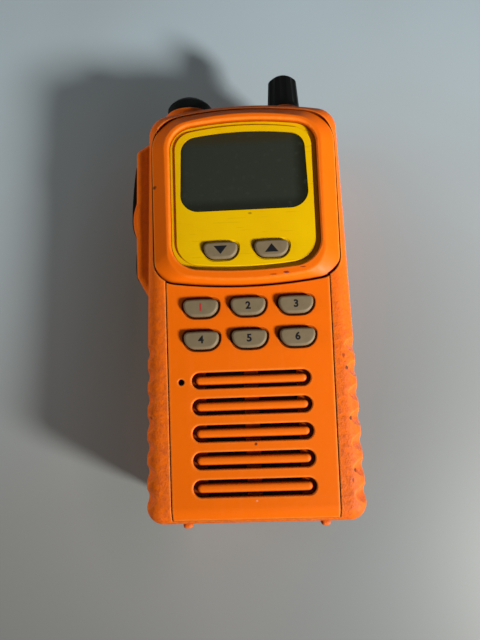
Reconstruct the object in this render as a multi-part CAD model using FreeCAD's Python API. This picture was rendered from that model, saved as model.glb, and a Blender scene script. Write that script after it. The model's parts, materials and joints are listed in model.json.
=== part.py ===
"""Handheld marine VHF radio, standing upright.

Millimetres. X runs to the right of someone facing the keypad, Y from the keypad to the battery, Z up.
The radio is built about its own centre line with the panel face at Y = 0, and placed at the end so that
the origin lies on the floor at the middle of the bounding box.
"""
import FreeCAD, Part
import math
import os

V = FreeCAD.Vector

# ---- fits --------------------------------------------------------------------------------------
groove = 0.3            # gap that shows between panel, bezel and shell
key_gap = 0.3           # round each key
slide_gap = 0.3         # between parts that slide or lift off
fit_gap = 0.1           # between parts that are only assembled
shaft_gap = 0.05        # radial, pot shaft in its bushing
seat_gap = 0.05         # between a key's flange and the plate it rests against
edge_round = 0.3        # small moulded edge radius

# ---- overall -----------------------------------------------------------------------------------
case_width = 65.5
case_taper = 1.0        # how much each side leans in towards the top
case_height = 134.95        # bottom face to the crown of the top
case_crown = 3.8        # rise of the top's arch
case_depth = 22.0       # front shell
foot_height = 1.5
front_edge_round = 5.5
back_edge_round = 6.0
bottom_edge_round = 5.4
top_corner_round = 7.2
side_wall = 2.6
front_wall = 3.4        # panel face to the cavity
cavity_chamfer = 3.0
cavity_low_round = 3.0
gasket_thickness = 0.4

# ---- grips -------------------------------------------------------------------------------------
grip_hollows = 7
grip_pitch = 7.25
grip_first = 7.8        # first hollow above the bottom face
grip_hollow_depth = 1.9
grip_crest_gap = 0.1     # crests clear of the corner by this much
grip_angle = 27.0       # direction of the cut, degrees forward of the side

# ---- feet --------------------------------------------------------------------------------------
foot_width = 2.8
foot_length = 4.0
foot_spacing = 41.0
foot_round = 1.1
foot_low_round = 0.8
front_foot_set_back = 5.0
rear_foot_set_back = 6.0

# ---- top controls ------------------------------------------------------------------------------
control_set_back = 13.0
knob_inset = 17.75          # inside the case's side
antenna_inset = 14.15
knob_collar_rise = 1.55     # above the crown
antenna_collar_rise = 0.9
knob_collar_radius = 6.9
antenna_collar_radius = 9.3
collar_flare = 1.0
collar_recess = 2.2

knob_radius = 5.85
knob_taper = 0.75
knob_height = 12.8
knob_flutes = 8
knob_flute_radius = 2.6
knob_flute_depth = 0.5
knob_top_chamfer = 1.1
knob_sleeve_wall = 1.1
pot_size = 10.0
pot_height = 5.6
pot_shaft_radius = 2.0
pot_bushing_radius = 3.5
pot_bushing_rise = 1.6  # above the collar
nut_thickness = 1.8
nut_overlap = 1.3       # nut beyond its thread, radially

cap_radius = 8.1
cap_wall_height = 3.4
cap_dome_rise = 4.1
cap_travel = 12.0
socket_radius = 4.75
socket_rise = 4.6
socket_flange = 1.6
socket_depth = 5.5      # below the top wall
insulator_radius = 2.4
socket_pin_hole = 0.5

# ---- bezel, insert and window ------------------------------------------------------------------
bezel_top_margin = 3.25      # below the crown
bezel_lift = 71.0           # its foot above the bottom face
bezel_side_margin = 2.45    # inside the case's side
bezel_lean = 1.1            # how much narrower it is at its foot
bezel_crown = 3.9
bezel_belly = 2.9
bezel_top_round = 11.8
bezel_low_round = 7.5
bezel_seat = 2.2            # depth of its seat behind the panel face
bezel_rim = 0.8             # depth at which its slope starts
bezel_proud = 2.0
bezel_crest_width = 1.7     # beside the insert's top corners, before its edges are rounded
bezel_crest_low = 1.1       # beside its lower ones
bezel_slope_side = 4.6
bezel_slope_top = 3.2
bezel_slope_low = 1.4
bezel_crest_round = 0.8
bezel_crest_corner = 9.0
bezel_lip_round = 0.6
bezel_shelf = 1.5           # ledge under the insert

insert_top_margin = 5.1     # below the bezel's top
insert_low_margin = 4.5     # above the bezel's foot
insert_border_top = 3.9     # beside the window's top corners
insert_border_low = 2.9     # beside its lower ones
insert_crown = 2.6
insert_belly = 1.9
insert_top_round = 8.0
insert_low_round = 9.0
insert_face = -0.1          # depth of the flange's face
insert_thickness = 1.1
plateau_inset = 1.5
plateau_rise = 0.6

window_top_margin = 3.9     # below the insert's top
window_lift = 20.1          # above the insert's foot
window_crown = 1.9
window_top_round = 5.3
window_low_round = 5.8
lens_flange = 1.2
lens_flange_thickness = 0.6
lens_gasket_thickness = 0.6
lcd_side_margin = 1.4       # glass cell inside the window's edge
lcd_end_margin = 1.95
lcd_thickness = 1.8
lcd_frame_wall = 1.3
lcd_frame_lip = 0.4
backlight_thickness = 1.2

# ---- panel and keys ----------------------------------------------------------------------------
panel_thickness = 1.8
panel_half_top = 25.6
panel_half_low = 24.1
panel_ledge = 1.2
key_width = 10.65
key_height = 5.5
key_crown = 0.25
key_belly = 0.5
key_top_round = 1.5
key_low_round = 3.5
key_proud = 1.6
arrow_key_proud = 1.2
key_face_round = 0.8
key_flange = 0.9
key_flange_thickness = 0.8
key_travel = 0.7
key_column_pitch = 14.65
key_row_pitch = 10.05
key_row_margin = 6.85        # first row below the bezel's foot
arrow_key_spacing = 16.0
arrow_key_margin = 6.7      # arrow keys above the insert's foot
dish_margin = 0.75
dish_depth = 0.3
dish_lift = 0.15
panel_key_columns = 3
panel_key_rows = 2

slot_count = 5
slot_pitch = 7.82
slot_length = 36.5
slot_width = 5.4
slot_margin = 6.7           # bottom face to half a pitch below the lowest slot
slot_bar_gap = 1.35
slot_bar_drop = 0.15
slot_lip = 0.25
slot_bar_round = 1.1
slot_web_width = 4.4
slot_web_margin = 1.4        # webs beyond the outer slots
slot_web_thickness = 0.8
slot_web_spacing = 16.0
mic_hole_radius = 0.95
mic_offset = 21.1
mic_lift = 15.3             # above the middle slot

# ---- side keys ---------------------------------------------------------------------------------
housing_reach = 3.75         # beyond the side
housing_front = 4.5
housing_width = 14.0
housing_top_margin = 10.95  # below the crown
housing_length = 53.7
housing_low_ramp = 6.4
housing_top_ramp = 3.1
housing_lean = 0.3          # how much nearer the case its lower end lies
housing_round = 2.2
housing_bulge = 1.1         # swell beside the larger key's crest
housing_bulge_low = 20.0    # above the housing's foot
housing_bulge_length = 12.0
side_button_width = 8.6
ptt_length = 28.1
ptt_low = 20.2              # above the housing's foot
ptt_proud = 1.9
ptt_crest = 6.8             # height of its crest above its lower end
ptt_low_proud = 0.5
ptt_top_proud = 0.3
aux_length = 11.4           # the lower side key
aux_low = 5.8
aux_proud = 0.55
aux_crest = 5.4
aux_end_proud = 0.3
button_pocket = 2.4
button_stem_radius = 2.0
button_travel = 1.0
button_edge_round = 0.9

# ---- boards and chassis ------------------------------------------------------------------------
mat_thickness = 0.8
mat_post_radius = 1.5
mat_margin = 3.0
switch_radius = 2.5
switch_thickness = 0.6
board_thickness = 1.4
board_side_gap = 3.4        # between the shell's side wall and the board
board_low = 47.3            # above the bottom face
board_top_margin = 8.45     # below the crown
board_post_inset = 4.0      # posts inside the board's ends
chassis_gap = 2.0
chassis_thickness = 1.5
chassis_side_gap = 1.9
chassis_top_margin = 18.65
chassis_post_radius = 2.5
rf_board_gap = 2.5
rf_board_inset = 5.0
rf_board_low = 3.0          # inside the chassis's foot
rf_board_top_margin = 6.0   # and its top
rf_board_clear = 0.5        # inside the chassis's right edge
shield_height = 3.0
screw_radius = 1.0
screw_head_radius = 1.9
screw_head_height = 1.2

side_board_inset = 3.5      # inside the chassis's edge
side_board_thickness = 1.0
side_board_width = 9.0
side_board_margin = 5.0     # beyond each switch's middle
side_switch_size = 6.0
side_switch_nose = 0.8
side_switch_nose_radius = 1.4
side_switch_gap = 0.1       # left when a side key is fully in
shield_margin = 3.0         # inside the transceiver board's edge
shield_gap = 3.0            # between the two cans
shield_wall = 0.4
large_shield_length = 29.0
small_shield_width = 14.0
small_shield_low = 8.0
connector_width = 18.0
connector_height = 4.0
connector_lift = 8.0

speaker_radius = 18.0
speaker_depth = 4.4
speaker_rim = 2.0
speaker_seat = 0.7          # ledge for the cone's surround
speaker_magnet_radius = 10.0
speaker_magnet_depth = 4.0
mesh_thickness = 0.3
mesh_margin = 0.35
mesh_corner = 4.0
retainer_thickness = 0.9
retainer_low = 11.0         # its lower bosses below the speaker's middle
retainer_high = 10.0
retainer_boss_radius = 2.4
retainer_margin = 3.0
retainer_hole_gap = 0.2
mic_radius = 2.0
mic_boot_wall = 0.5
mic_boot_length = 3.6

# ---- rear cover and battery --------------------------------------------------------------------
bay_floor = 2.2
rear_wall = 2.2
battery_top_margin = 34.85  # the battery's top below the crown
battery_wall = 1.5
battery_side_inset = 0.3
battery_cover_thickness = 1.3
cell_thickness = 9.6
cell_side_gap = 0.15
cell_length = 60.0
cell_gap = 0.8
cell_slack = 0.7        # behind the cells
cell_foot_slack = 0.5
battery_board_thickness = 1.2
label_width = 44.0
label_height = 50.0
label_depth = 0.5
rib_count = 6
rib_pitch = 3.2
rib_width = 1.6
rib_depth = 0.8
contact_count = 3
contact_pitch = 8.0
contact_width = 4.5
contact_height = 7.0
contact_thickness = 0.4
contact_drop = 9.0          # contacts below the battery's top
terminal_radius = 1.0
terminal_block_margin = 1.5
terminal_block_half_height = 5.0
battery_board_width = 44.0
battery_board_gap = 2.0     # above the cells
battery_board_top_gap = 2.5
battery_travel = 25.0

latch_width = 16.0
latch_height = 9.0
latch_thickness = 1.5
latch_lift = 2.2            # latch above the bay
latch_travel = 2.5
latch_tongue_width = 8.0
latch_tongue_thickness = 1.8
latch_rib_count = 4
latch_rib_radius = 0.5
latch_rib_pitch = 1.6
latch_rib_first = 2.0
latch_rib_inset = 2.5

boss_radius = 3.0
boss_inset = 3.85           # inside the cavity's side
boss_low = 8.8              # above the bottom face
boss_top_margin = 14.45      # below the crown
case_screw_radius = 1.25
case_screw_head_radius = 2.4
case_screw_length = 12.0
insert_spacing = 20.0
insert_drop = 11.95          # below the crown
insert_radius = 2.5
insert_bore_radius = 1.25
insert_length = 5.0

# ---- heights and depths worked out -------------------------------------------------------------
half_width = case_width / 2
case_bottom = foot_height
case_top = case_bottom + case_height
bezel_top = case_top - bezel_top_margin
bezel_foot = case_bottom + bezel_lift
insert_top = bezel_top - insert_top_margin
insert_foot = bezel_foot + insert_low_margin
window_top = insert_top - window_top_margin
window_foot = insert_foot + window_lift
slot_middle = case_bottom + slot_margin + slot_pitch * slot_count / 2
key_row_top = bezel_foot - key_row_margin
arrow_key_z = insert_foot + arrow_key_margin
mic_z = slot_middle + mic_lift
cavity_half = half_width - side_wall
boss_offset = cavity_half - boss_inset
knob_offset = half_width - knob_inset
antenna_offset = half_width - antenna_inset
bezel_half_width = half_width - bezel_side_margin
bezel_half_low = bezel_half_width - bezel_lean
insert_half_width = bezel_half_width - bezel_slope_side - bezel_crest_width
insert_half_low = bezel_half_low - bezel_slope_side - bezel_crest_low
window_half_top = insert_half_width - insert_border_top
window_half_width = insert_half_low - insert_border_low
battery_room_half = half_width - case_taper - battery_side_inset - battery_wall
cell_width = battery_room_half - cell_side_gap - cell_gap / 2
lcd_width = 2 * (window_half_width - lcd_side_margin)
lcd_height = window_top - window_foot - 2 * lcd_end_margin
board_half_width = cavity_half - board_side_gap
chassis_half_width = cavity_half - chassis_side_gap
rf_board_half_width = board_half_width - rf_board_inset
rf_board_right = chassis_half_width - rf_board_clear
shields_width = rf_board_right + rf_board_half_width - 2 * shield_margin
large_shield_width = shields_width - shield_gap - small_shield_width
key_stop = front_wall + seat_gap
plunger_end = key_stop - key_travel - seat_gap
mat_back = key_stop + mat_thickness
switch_front = mat_back + 0.75
board_front = switch_front + switch_thickness
board_back = board_front + board_thickness
chassis_front = board_back + chassis_gap
chassis_back = chassis_front + chassis_thickness
rf_board_front = chassis_back + rf_board_gap
rf_board_back = rf_board_front + board_thickness
cover_front = case_depth + gasket_thickness
bay_face = cover_front + bay_floor
battery_face = bay_face + slide_gap
battery_top = case_top - battery_top_margin
battery_height = battery_top - case_bottom
bay_top = battery_top + slide_gap
total_depth = battery_face + battery_cover_thickness + cell_thickness + cell_slack + battery_wall
housing_foot = case_top - housing_top_margin - housing_length
housing_face_x = -(half_width + housing_reach)
housing_mid_y = housing_front + housing_width / 2
leftmost = housing_face_x - ptt_proud
centre = V(-(leftmost + half_width) / 2, (bezel_proud - total_depth) / 2, 0)


# ---- shape helpers -----------------------------------------------------------------------------
def block(x0, x1, y0, y1, z0, z1):
    """A box between two corners."""
    return Part.makeBox(x1 - x0, y1 - y0, z1 - z0, V(x0, y0, z0))


def rod(radius, start, direction, length):
    return Part.makeCylinder(radius, length, start, direction)


def tube(outer, inner, start, direction, length):
    return rod(outer, start, direction, length).cut(rod(inner, start, direction, length))


def arc_or_line(start, middle, end):
    """An arc through three points, or a line where they are straight."""
    if (middle - (start + end) / 2).Length < 1e-6:
        return Part.LineSegment(start, end).toShape()
    return Part.Arc(start, middle, end).toShape()


class Outline:
    """A four-sided outline in the XZ plane with bowed sides and rounded corners, symmetric about X = 0."""

    def __init__(self, foot, top, half_low, half_top, belly=0.0, crown=0.0, low_round=1.0, top_round=1.0):
        self.foot = foot
        self.top = top
        self.half_low = half_low
        self.half_top = half_top
        self.belly = belly
        self.crown = crown
        self.low_round = low_round
        self.top_round = top_round

    def grown(self, side, low=None, top=None):
        """The same outline moved outwards by different amounts at its sides, foot and top."""
        low = side if low is None else low
        top = side if top is None else top
        return Outline(self.foot - low, self.top + top, self.half_low + side, self.half_top + side,
                       self.belly, self.crown, max(self.low_round + min(side, low), 0.3),
                       max(self.top_round + min(side, top), 0.3))

    def prism(self, front, back, x=0.0):
        """The outline swept along Y, from front to back."""
        low = self.foot + self.belly
        high = self.top - self.crown
        corners = [V(x - self.half_low, front, low), V(x + self.half_low, front, low),
                   V(x + self.half_top, front, high), V(x - self.half_top, front, high)]
        foot_point = V(x, front, self.foot)
        top_point = V(x, front, self.top)
        wire = Part.Wire([arc_or_line(corners[0], foot_point, corners[1]),
                          Part.LineSegment(corners[1], corners[2]).toShape(),
                          arc_or_line(corners[2], top_point, corners[3]),
                          Part.LineSegment(corners[3], corners[0]).toShape()])
        solid = Part.Face(wire).extrude(V(0, back - front, 0))
        middle = (low + high) / 2
        for radius, is_high in ((self.low_round, False), (self.top_round, True)):
            edges = [edge for edge in edges_along(solid, V(0, 1, 0))
                     if (edge.CenterOfMass.z > middle) == is_high]
            solid = solid.makeFillet(radius, edges)
        return solid

    def ring(self, front, back, wall, x=0.0):
        return self.prism(front, back, x).cut(self.grown(-wall).prism(front, back, x))


def edges_along(solid, direction):
    """The straight edges of a solid that run along a direction."""
    found = []
    for edge in solid.Edges:
        if len(edge.Vertexes) == 2 and edge.Curve.TypeId == "Part::GeomLine":
            run = edge.Vertexes[1].Point - edge.Vertexes[0].Point
            if abs(abs(run.normalize().dot(direction)) - 1) < 1e-6:
                found.append(edge)
    return found


def edges_at_y(solid, depth):
    """The edges of a solid that lie in a plane of constant Y."""
    return [edge for edge in solid.Edges
            if abs(edge.BoundBox.YMin - depth) < 0.01 and abs(edge.BoundBox.YMax - depth) < 0.01]


def end_wire(solid, depth):
    """The outer wire of the flat end of a prism at a given Y."""
    for face in solid.Faces:
        box = face.BoundBox
        if abs(box.YMin - depth) < 1e-6 and abs(box.YMax - depth) < 1e-6:
            return face.OuterWire
    raise ValueError("no flat end at that depth")


def rounded_block(x0, x1, y0, y1, z0, z1, radius, direction=None):
    """A box with its edges along one direction rounded, or all of them."""
    solid = block(x0, x1, y0, y1, z0, z1)
    edges = solid.Edges if direction is None else edges_along(solid, direction)
    return solid.makeFillet(radius, edges)


def fuse_all(solids):
    return solids[0].multiFuse(solids[1:]).removeSplitter()


def cut_all(solid, tools):
    return solid.cut(Part.makeCompound(tools)) if tools else solid


# ---- outlines ----------------------------------------------------------------------------------
case_outline = Outline(case_bottom, case_top, half_width, half_width - case_taper, crown=case_crown,
                       low_round=bottom_edge_round, top_round=top_corner_round)
bezel_outline = Outline(bezel_foot, bezel_top, bezel_half_low, bezel_half_width, bezel_belly, bezel_crown,
                        bezel_low_round, bezel_top_round)
insert_outline = Outline(insert_foot, insert_top, insert_half_low, insert_half_width, insert_belly,
                         insert_crown, insert_low_round, insert_top_round)
window_outline = Outline(window_foot, window_top, window_half_width, window_half_top, 0.0, window_crown,
                         window_low_round, window_top_round)
key_shape = Outline(-key_height / 2, key_height / 2, key_width / 2, key_width / 2, key_belly, key_crown,
                    key_low_round, key_top_round)


def shell_form(face, rim, edge_radius, inset=0.0, foot=None, top=None):
    """The radio's outer form between two depths, its edges rounded at the face and its rim left square."""
    low = case_bottom + inset if foot is None else foot
    outline = case_outline.grown(-inset)
    spare = 20.0
    outline = Outline(low - spare, outline.top, outline.half_low + case_taper * spare / case_height,
                      outline.half_top, crown=outline.crown, low_round=1.0, top_round=outline.top_round)
    solid = outline.prism(rim, face)
    end_edges = [edge for edge in edges_at_y(solid, face) if edge.BoundBox.ZMax > low]
    solid = solid.makeFillet(edge_radius, end_edges)
    reach = case_width
    solid = solid.cut(block(-reach, reach, -reach, reach, low - 2 * spare, low))
    side_edges = [edge for edge in solid.Edges
                  if edge.BoundBox.ZMax < low + 0.01 and abs(edge.CenterOfMass.x) > half_width / 2]
    solid = solid.makeFillet(bottom_edge_round - inset, side_edges)
    if top is not None:
        solid = solid.cut(block(-reach, reach, -reach, reach, top, top + case_height))
    return solid


# ---- keys --------------------------------------------------------------------------------------
def key_outline(z):
    """The outline of one key at its height."""
    shape = key_shape
    return Outline(shape.foot + z, shape.top + z, shape.half_low, shape.half_top, shape.belly,
                   shape.crown, shape.low_round, shape.top_round)


def panel_key_places():
    """(x, z) of the panel's keys, left to right and top to bottom."""
    places = []
    for row in range(panel_key_rows):
        for column in range(panel_key_columns):
            x = (column - (panel_key_columns - 1) / 2) * key_column_pitch
            places.append((x, key_row_top - row * key_row_pitch))
    return places


def arrow_key_places():
    return [(-arrow_key_spacing / 2, arrow_key_z), (arrow_key_spacing / 2, arrow_key_z)]


def key_cap(x, z, plate_face, plate_back, proud):
    """A key with its domed head, a flange behind the plate and a plunger towards its switch."""
    outline = key_outline(z)
    head = outline.prism(plate_face - proud, plate_back + 2 * seat_gap, x)
    head = head.makeFillet(key_face_round, edges_at_y(head, plate_face - proud))
    flange_front = plate_back + seat_gap
    flange = outline.grown(key_flange).prism(flange_front, flange_front + key_flange_thickness, x)
    pieces = [head, flange]
    if plunger_end > flange_front + key_flange_thickness + 0.1:
        pieces.append(outline.grown(-1.0).prism(flange_front, plunger_end, x))
    return fuse_all(pieces)


def key_hole(x, z, front, back):
    return key_outline(z).grown(key_gap).prism(front, back, x)


def key_dish(x, z, face):
    """A shallow dish round a key, with sloping sides."""
    outer = key_outline(z).grown(dish_margin, top=dish_margin + dish_lift).prism(face, face + 1, x)
    inner = key_outline(z).grown(key_gap + 0.1).prism(face + dish_depth, face + 1, x)
    return Part.makeLoft([end_wire(outer, face), end_wire(inner, face + dish_depth)], True, True)


# ---- front of the radio ------------------------------------------------------------------------
def panel_outline():
    """The panel's outline before its top edge is cut to the bezel."""
    return Outline(case_bottom - foot_height, bezel_foot + bezel_low_round, panel_half_low, panel_half_top,
                   low_round=0.1, top_round=0.1)


def slot_places():
    return [slot_middle + (i - (slot_count - 1) / 2) * slot_pitch for i in range(slot_count)]


def racetrack(length, width, z, front, back, x=0.0):
    """A slot with round ends, lying along X."""
    return rounded_block(x - length / 2, x + length / 2, front, back, z - width / 2, z + width / 2,
                         width / 2 - 0.001, V(0, 1, 0))


def front_panel():
    panel = shell_form(0, case_depth, front_edge_round)
    panel = panel.common(panel_outline().prism(-1, panel_thickness))
    panel = panel.cut(bezel_outline.grown(2 * groove).prism(-1, bezel_seat))
    cuts = []
    for x, z in panel_key_places():
        cuts.append(key_hole(x, z, -1, panel_thickness + 1))
        cuts.append(key_dish(x, z, 0))
    for z in slot_places():
        hole = racetrack(slot_length - 2 * slot_lip, slot_width - 2 * slot_lip, z, -1, panel_thickness + 1)
        lip_outer = racetrack(slot_length, slot_width, z, 0, 1)
        lip_inner = racetrack(slot_length - 2 * slot_lip, slot_width - 2 * slot_lip, z, slot_lip, 1)
        lip = Part.makeLoft([end_wire(lip_outer, 0), end_wire(lip_inner, slot_lip)], True, True)
        cuts += [hole, lip]
    cuts.append(rod(mic_hole_radius, V(-mic_offset, -1, mic_z), V(0, 1, 0), panel_thickness + 2))
    panel = cut_all(panel, cuts)
    return fuse_all([panel] + slot_bars() + slot_webs())


def slot_bars():
    """The round-ended bar inside each slot."""
    bars = []
    for z in slot_places():
        width = slot_width - 2 * slot_bar_gap
        bar = racetrack(slot_length - 2 * slot_bar_gap, width, z, slot_bar_drop, panel_thickness)
        bars.append(bar.makeFillet(slot_bar_round, edges_at_y(bar, slot_bar_drop)))
    return bars


def slot_webs():
    """Upright webs behind the panel that carry the bars."""
    low = slot_places()[0] - slot_width / 2 - slot_web_margin
    high = slot_places()[-1] + slot_width / 2 + slot_web_margin
    webs = []
    for x in (-slot_web_spacing, 0, slot_web_spacing):
        webs.append(block(x - slot_web_width / 2, x + slot_web_width / 2, panel_thickness,
                          panel_thickness + slot_web_thickness, low, high))
    return webs


def display_bezel():
    body = bezel_outline.prism(bezel_rim, bezel_seat)
    crest = bezel_outline.grown(-bezel_slope_side, -bezel_slope_low, -bezel_slope_top)
    crest.low_round = bezel_crest_corner
    crest.top_round = bezel_crest_corner
    slope = Part.makeLoft([end_wire(body, bezel_rim),
                           end_wire(crest.prism(-bezel_proud, 0), -bezel_proud)], True, True)
    slope = slope.makeFillet(bezel_crest_round, edges_at_y(slope, -bezel_proud))
    solid = fuse_all([body, slope])
    solid = solid.cut(insert_outline.prism(-bezel_proud - 1, insert_face + insert_thickness))
    solid = solid.cut(insert_outline.grown(-bezel_shelf).prism(0, bezel_seat + 1))
    opening = insert_outline.grown(0.1).prism(-bezel_proud - 1, 0)
    lip = [edge for edge in edges_at_y(solid, -bezel_proud)
           if opening.isInside(edge.valueAt((edge.FirstParameter + edge.LastParameter) / 2), 0.01, True)]
    return solid.makeFillet(bezel_lip_round, lip)


def display_insert():
    back = insert_face + insert_thickness
    flange = insert_outline.grown(-fit_gap).prism(insert_face, back)
    face = insert_face - plateau_rise
    plateau = insert_outline.grown(-plateau_inset).prism(face, insert_face + 0.2)
    plateau = plateau.makeFillet(edge_round, edges_at_y(plateau, face))
    solid = fuse_all([flange, plateau])
    cuts = [window_outline.grown(fit_gap).prism(face - 1, back + 1)]
    for x, z in arrow_key_places():
        cuts.append(key_hole(x, z, face - 1, back + 1))
        cuts.append(key_dish(x, z, face))
    return cut_all(solid, cuts)


def lens_back():
    return insert_face + insert_thickness + lens_flange_thickness


def display_lens():
    front = insert_face - plateau_rise + 0.15
    window = window_outline.prism(front, lens_back())
    window = window.makeFillet(0.2, edges_at_y(window, front))
    flange = window_outline.grown(lens_flange).prism(insert_face + insert_thickness, lens_back())
    return fuse_all([window, flange])


def lens_gasket():
    return window_outline.grown(lens_flange).ring(lens_back(), lens_back() + lens_gasket_thickness, 2.2)


def lcd_box(margin, front, back):
    """A rectangle centred behind the window, larger than the liquid-crystal cell by a margin."""
    middle = (window_foot + window_top) / 2 - window_crown / 2
    return block(-lcd_width / 2 - margin, lcd_width / 2 + margin, front, back,
                 middle - lcd_height / 2 - margin, middle + lcd_height / 2 + margin)


def lcd_front():
    return lens_back() + lens_gasket_thickness


def lcd_frame():
    outer = lcd_box(lcd_frame_wall, lcd_front(), board_front)
    outer = outer.makeFillet(1.0, edges_along(outer, V(0, 1, 0)))
    lip = lcd_box(-0.8, lcd_front() - 1, lcd_front() + 1)
    pocket = lcd_box(fit_gap, lcd_front() + lcd_frame_lip, board_front + 1)
    return outer.cut(lip).cut(pocket)


def lcd_cell():
    front = lcd_front() + lcd_frame_lip
    return lcd_box(0, front, front + lcd_thickness)


def lcd_backlight():
    front = lcd_front() + lcd_frame_lip + lcd_thickness
    return lcd_box(0, front, board_front)


# ---- front shell -------------------------------------------------------------------------------
def housing_form():
    """The ramped block on the left side that carries the side keys, with a swell beside the larger one."""
    root_x = -half_width + side_wall
    foot = housing_foot
    head = housing_foot + housing_length
    y = housing_front
    swell_low = foot + housing_bulge_low
    swell_high = swell_low + housing_bulge_length
    corners = [V(housing_face_x, y, swell_high), V(housing_face_x, y, head - housing_top_ramp),
               V(-half_width + case_taper, y, head), V(root_x, y, head), V(root_x, y, foot),
               V(-half_width, y, foot), V(housing_face_x + housing_lean, y, foot + housing_low_ramp),
               V(housing_face_x, y, swell_low)]
    sides = [Part.LineSegment(start, end).toShape() for start, end in zip(corners, corners[1:])]
    crest = V(housing_face_x - housing_bulge, y, swell_low + housing_bulge_length * 0.45)
    swell = Part.Arc(corners[-1], crest, corners[0]).toShape()
    solid = Part.Face(Part.Wire(sides + [swell])).extrude(V(0, housing_width, 0))
    shoulders = [edge for edge in edges_along(solid, V(0, 1, 0)) if edge.CenterOfMass.x < -half_width - 1]
    solid = solid.makeFillet(housing_round, shoulders)
    outer = [edge for edge in solid.Edges if edge.CenterOfMass.x < -half_width + 0.01
             and edge.BoundBox.YMax - edge.BoundBox.YMin < 0.01]
    return solid.makeFillet(housing_round, outer)


def button_span(low, length):
    """Lowest and highest Z of a side button."""
    return housing_foot + low, housing_foot + low + length


def button_outline(low, length, grow):
    """Y and Z limits of a side button, grown by a gap."""
    z0, z1 = button_span(low, length)
    half = side_button_width / 2
    return housing_mid_y - half - grow, housing_mid_y + half + grow, z0 - grow, z1 + grow


def button_pocket_cut(low, length):
    y0, y1, z0, z1 = button_outline(low, length, slide_gap)
    depth_x = housing_face_x + button_pocket
    pocket = rounded_block(housing_face_x - 2, depth_x, y0, y1, z0, z1, side_button_width / 2 - 0.5,
                           V(1, 0, 0))
    stem = rod(button_stem_radius + slide_gap, V(depth_x - 1, housing_mid_y, (z0 + z1) / 2), V(1, 0, 0),
               -depth_x - cavity_half + 3)
    return pocket.fuse(stem)


def collar(x, radius):
    """The raised ring that a control stands in."""
    base = case_top - case_crown - side_wall
    ring = Part.makeCone(radius + collar_flare, radius, collar_top(x) - base, V(x, control_set_back, base))
    top = [edge for edge in ring.Edges if edge.BoundBox.ZMin > collar_top(x) - 0.01]
    ring = ring.makeFillet(0.7, top)
    return ring.cut(block(x - case_width, x + case_width, case_depth, total_depth, 0, 2 * case_height))


def collar_top(x):
    """Height of the collar round the control at x."""
    return case_top + (knob_collar_rise if x > 0 else antenna_collar_rise)


def foot(x, y):
    half = foot_width / 2
    solid = block(x - half, x + half, y, y + foot_length, 0, case_bottom + 1.0)
    solid = solid.makeFillet(foot_round, edges_along(solid, V(0, 0, 1)))
    low = [edge for edge in solid.Edges if edge.BoundBox.ZMax < 0.01]
    return solid.makeFillet(foot_low_round, low)


def grip_hollow_cuts():
    """Waves of hollows along both front corners, which leave the scalloped grips."""
    angle = math.radians(grip_angle)
    normal = V(math.cos(angle), -math.sin(angle), 0)
    along = V(math.sin(angle), math.cos(angle), 0)
    corner = V(half_width - front_edge_round, front_edge_round, 0)
    reach = 2 * front_edge_round
    steps = 8
    points = []
    for i in range(grip_hollows * steps + 1):
        turn = i / steps
        dip = grip_hollow_depth * (1 - math.cos(2 * math.pi * turn)) / 2
        z = case_bottom + grip_first + (turn - 0.5) * grip_pitch
        out = front_edge_round + grip_crest_gap - dip
        points.append(corner + normal * out - along * reach + V(0, 0, z))
    wave = Part.BSplineCurve()
    wave.interpolate(points)
    away = normal * reach
    edge_points = [points[-1], points[-1] + away, points[0] + away, points[0]]
    sides = [Part.LineSegment(start, end).toShape() for start, end in zip(edge_points, edge_points[1:])]
    right = Part.Face(Part.Wire([wave.toShape()] + sides)).extrude(along * 2 * reach)
    return [right, right.mirror(V(0, 0, 0), V(1, 0, 0))]


def boss_places():
    z_low = case_bottom + boss_low
    z_high = case_top - boss_top_margin
    return [(-boss_offset, z_low), (boss_offset, z_low), (-boss_offset, z_high), (boss_offset, z_high)]


def cavity():
    """The room inside the front shell."""
    inner = case_outline.grown(-side_wall)
    inner.low_round = cavity_low_round
    inner.top_round = top_corner_round - side_wall
    room = inner.prism(front_wall, case_depth + 1)
    return room.makeChamfer(cavity_chamfer, edges_at_y(room, front_wall))


def retainer_places():
    low = slot_middle - retainer_low
    high = slot_middle + retainer_high
    return [(-boss_offset, low), (boss_offset, low), (-boss_offset, high), (boss_offset, high)]


def retainer_front():
    """Depth of the speaker retainer, which bears on the back of the speaker's frame."""
    return panel_thickness + slot_web_thickness + mesh_thickness + speaker_depth


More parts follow.
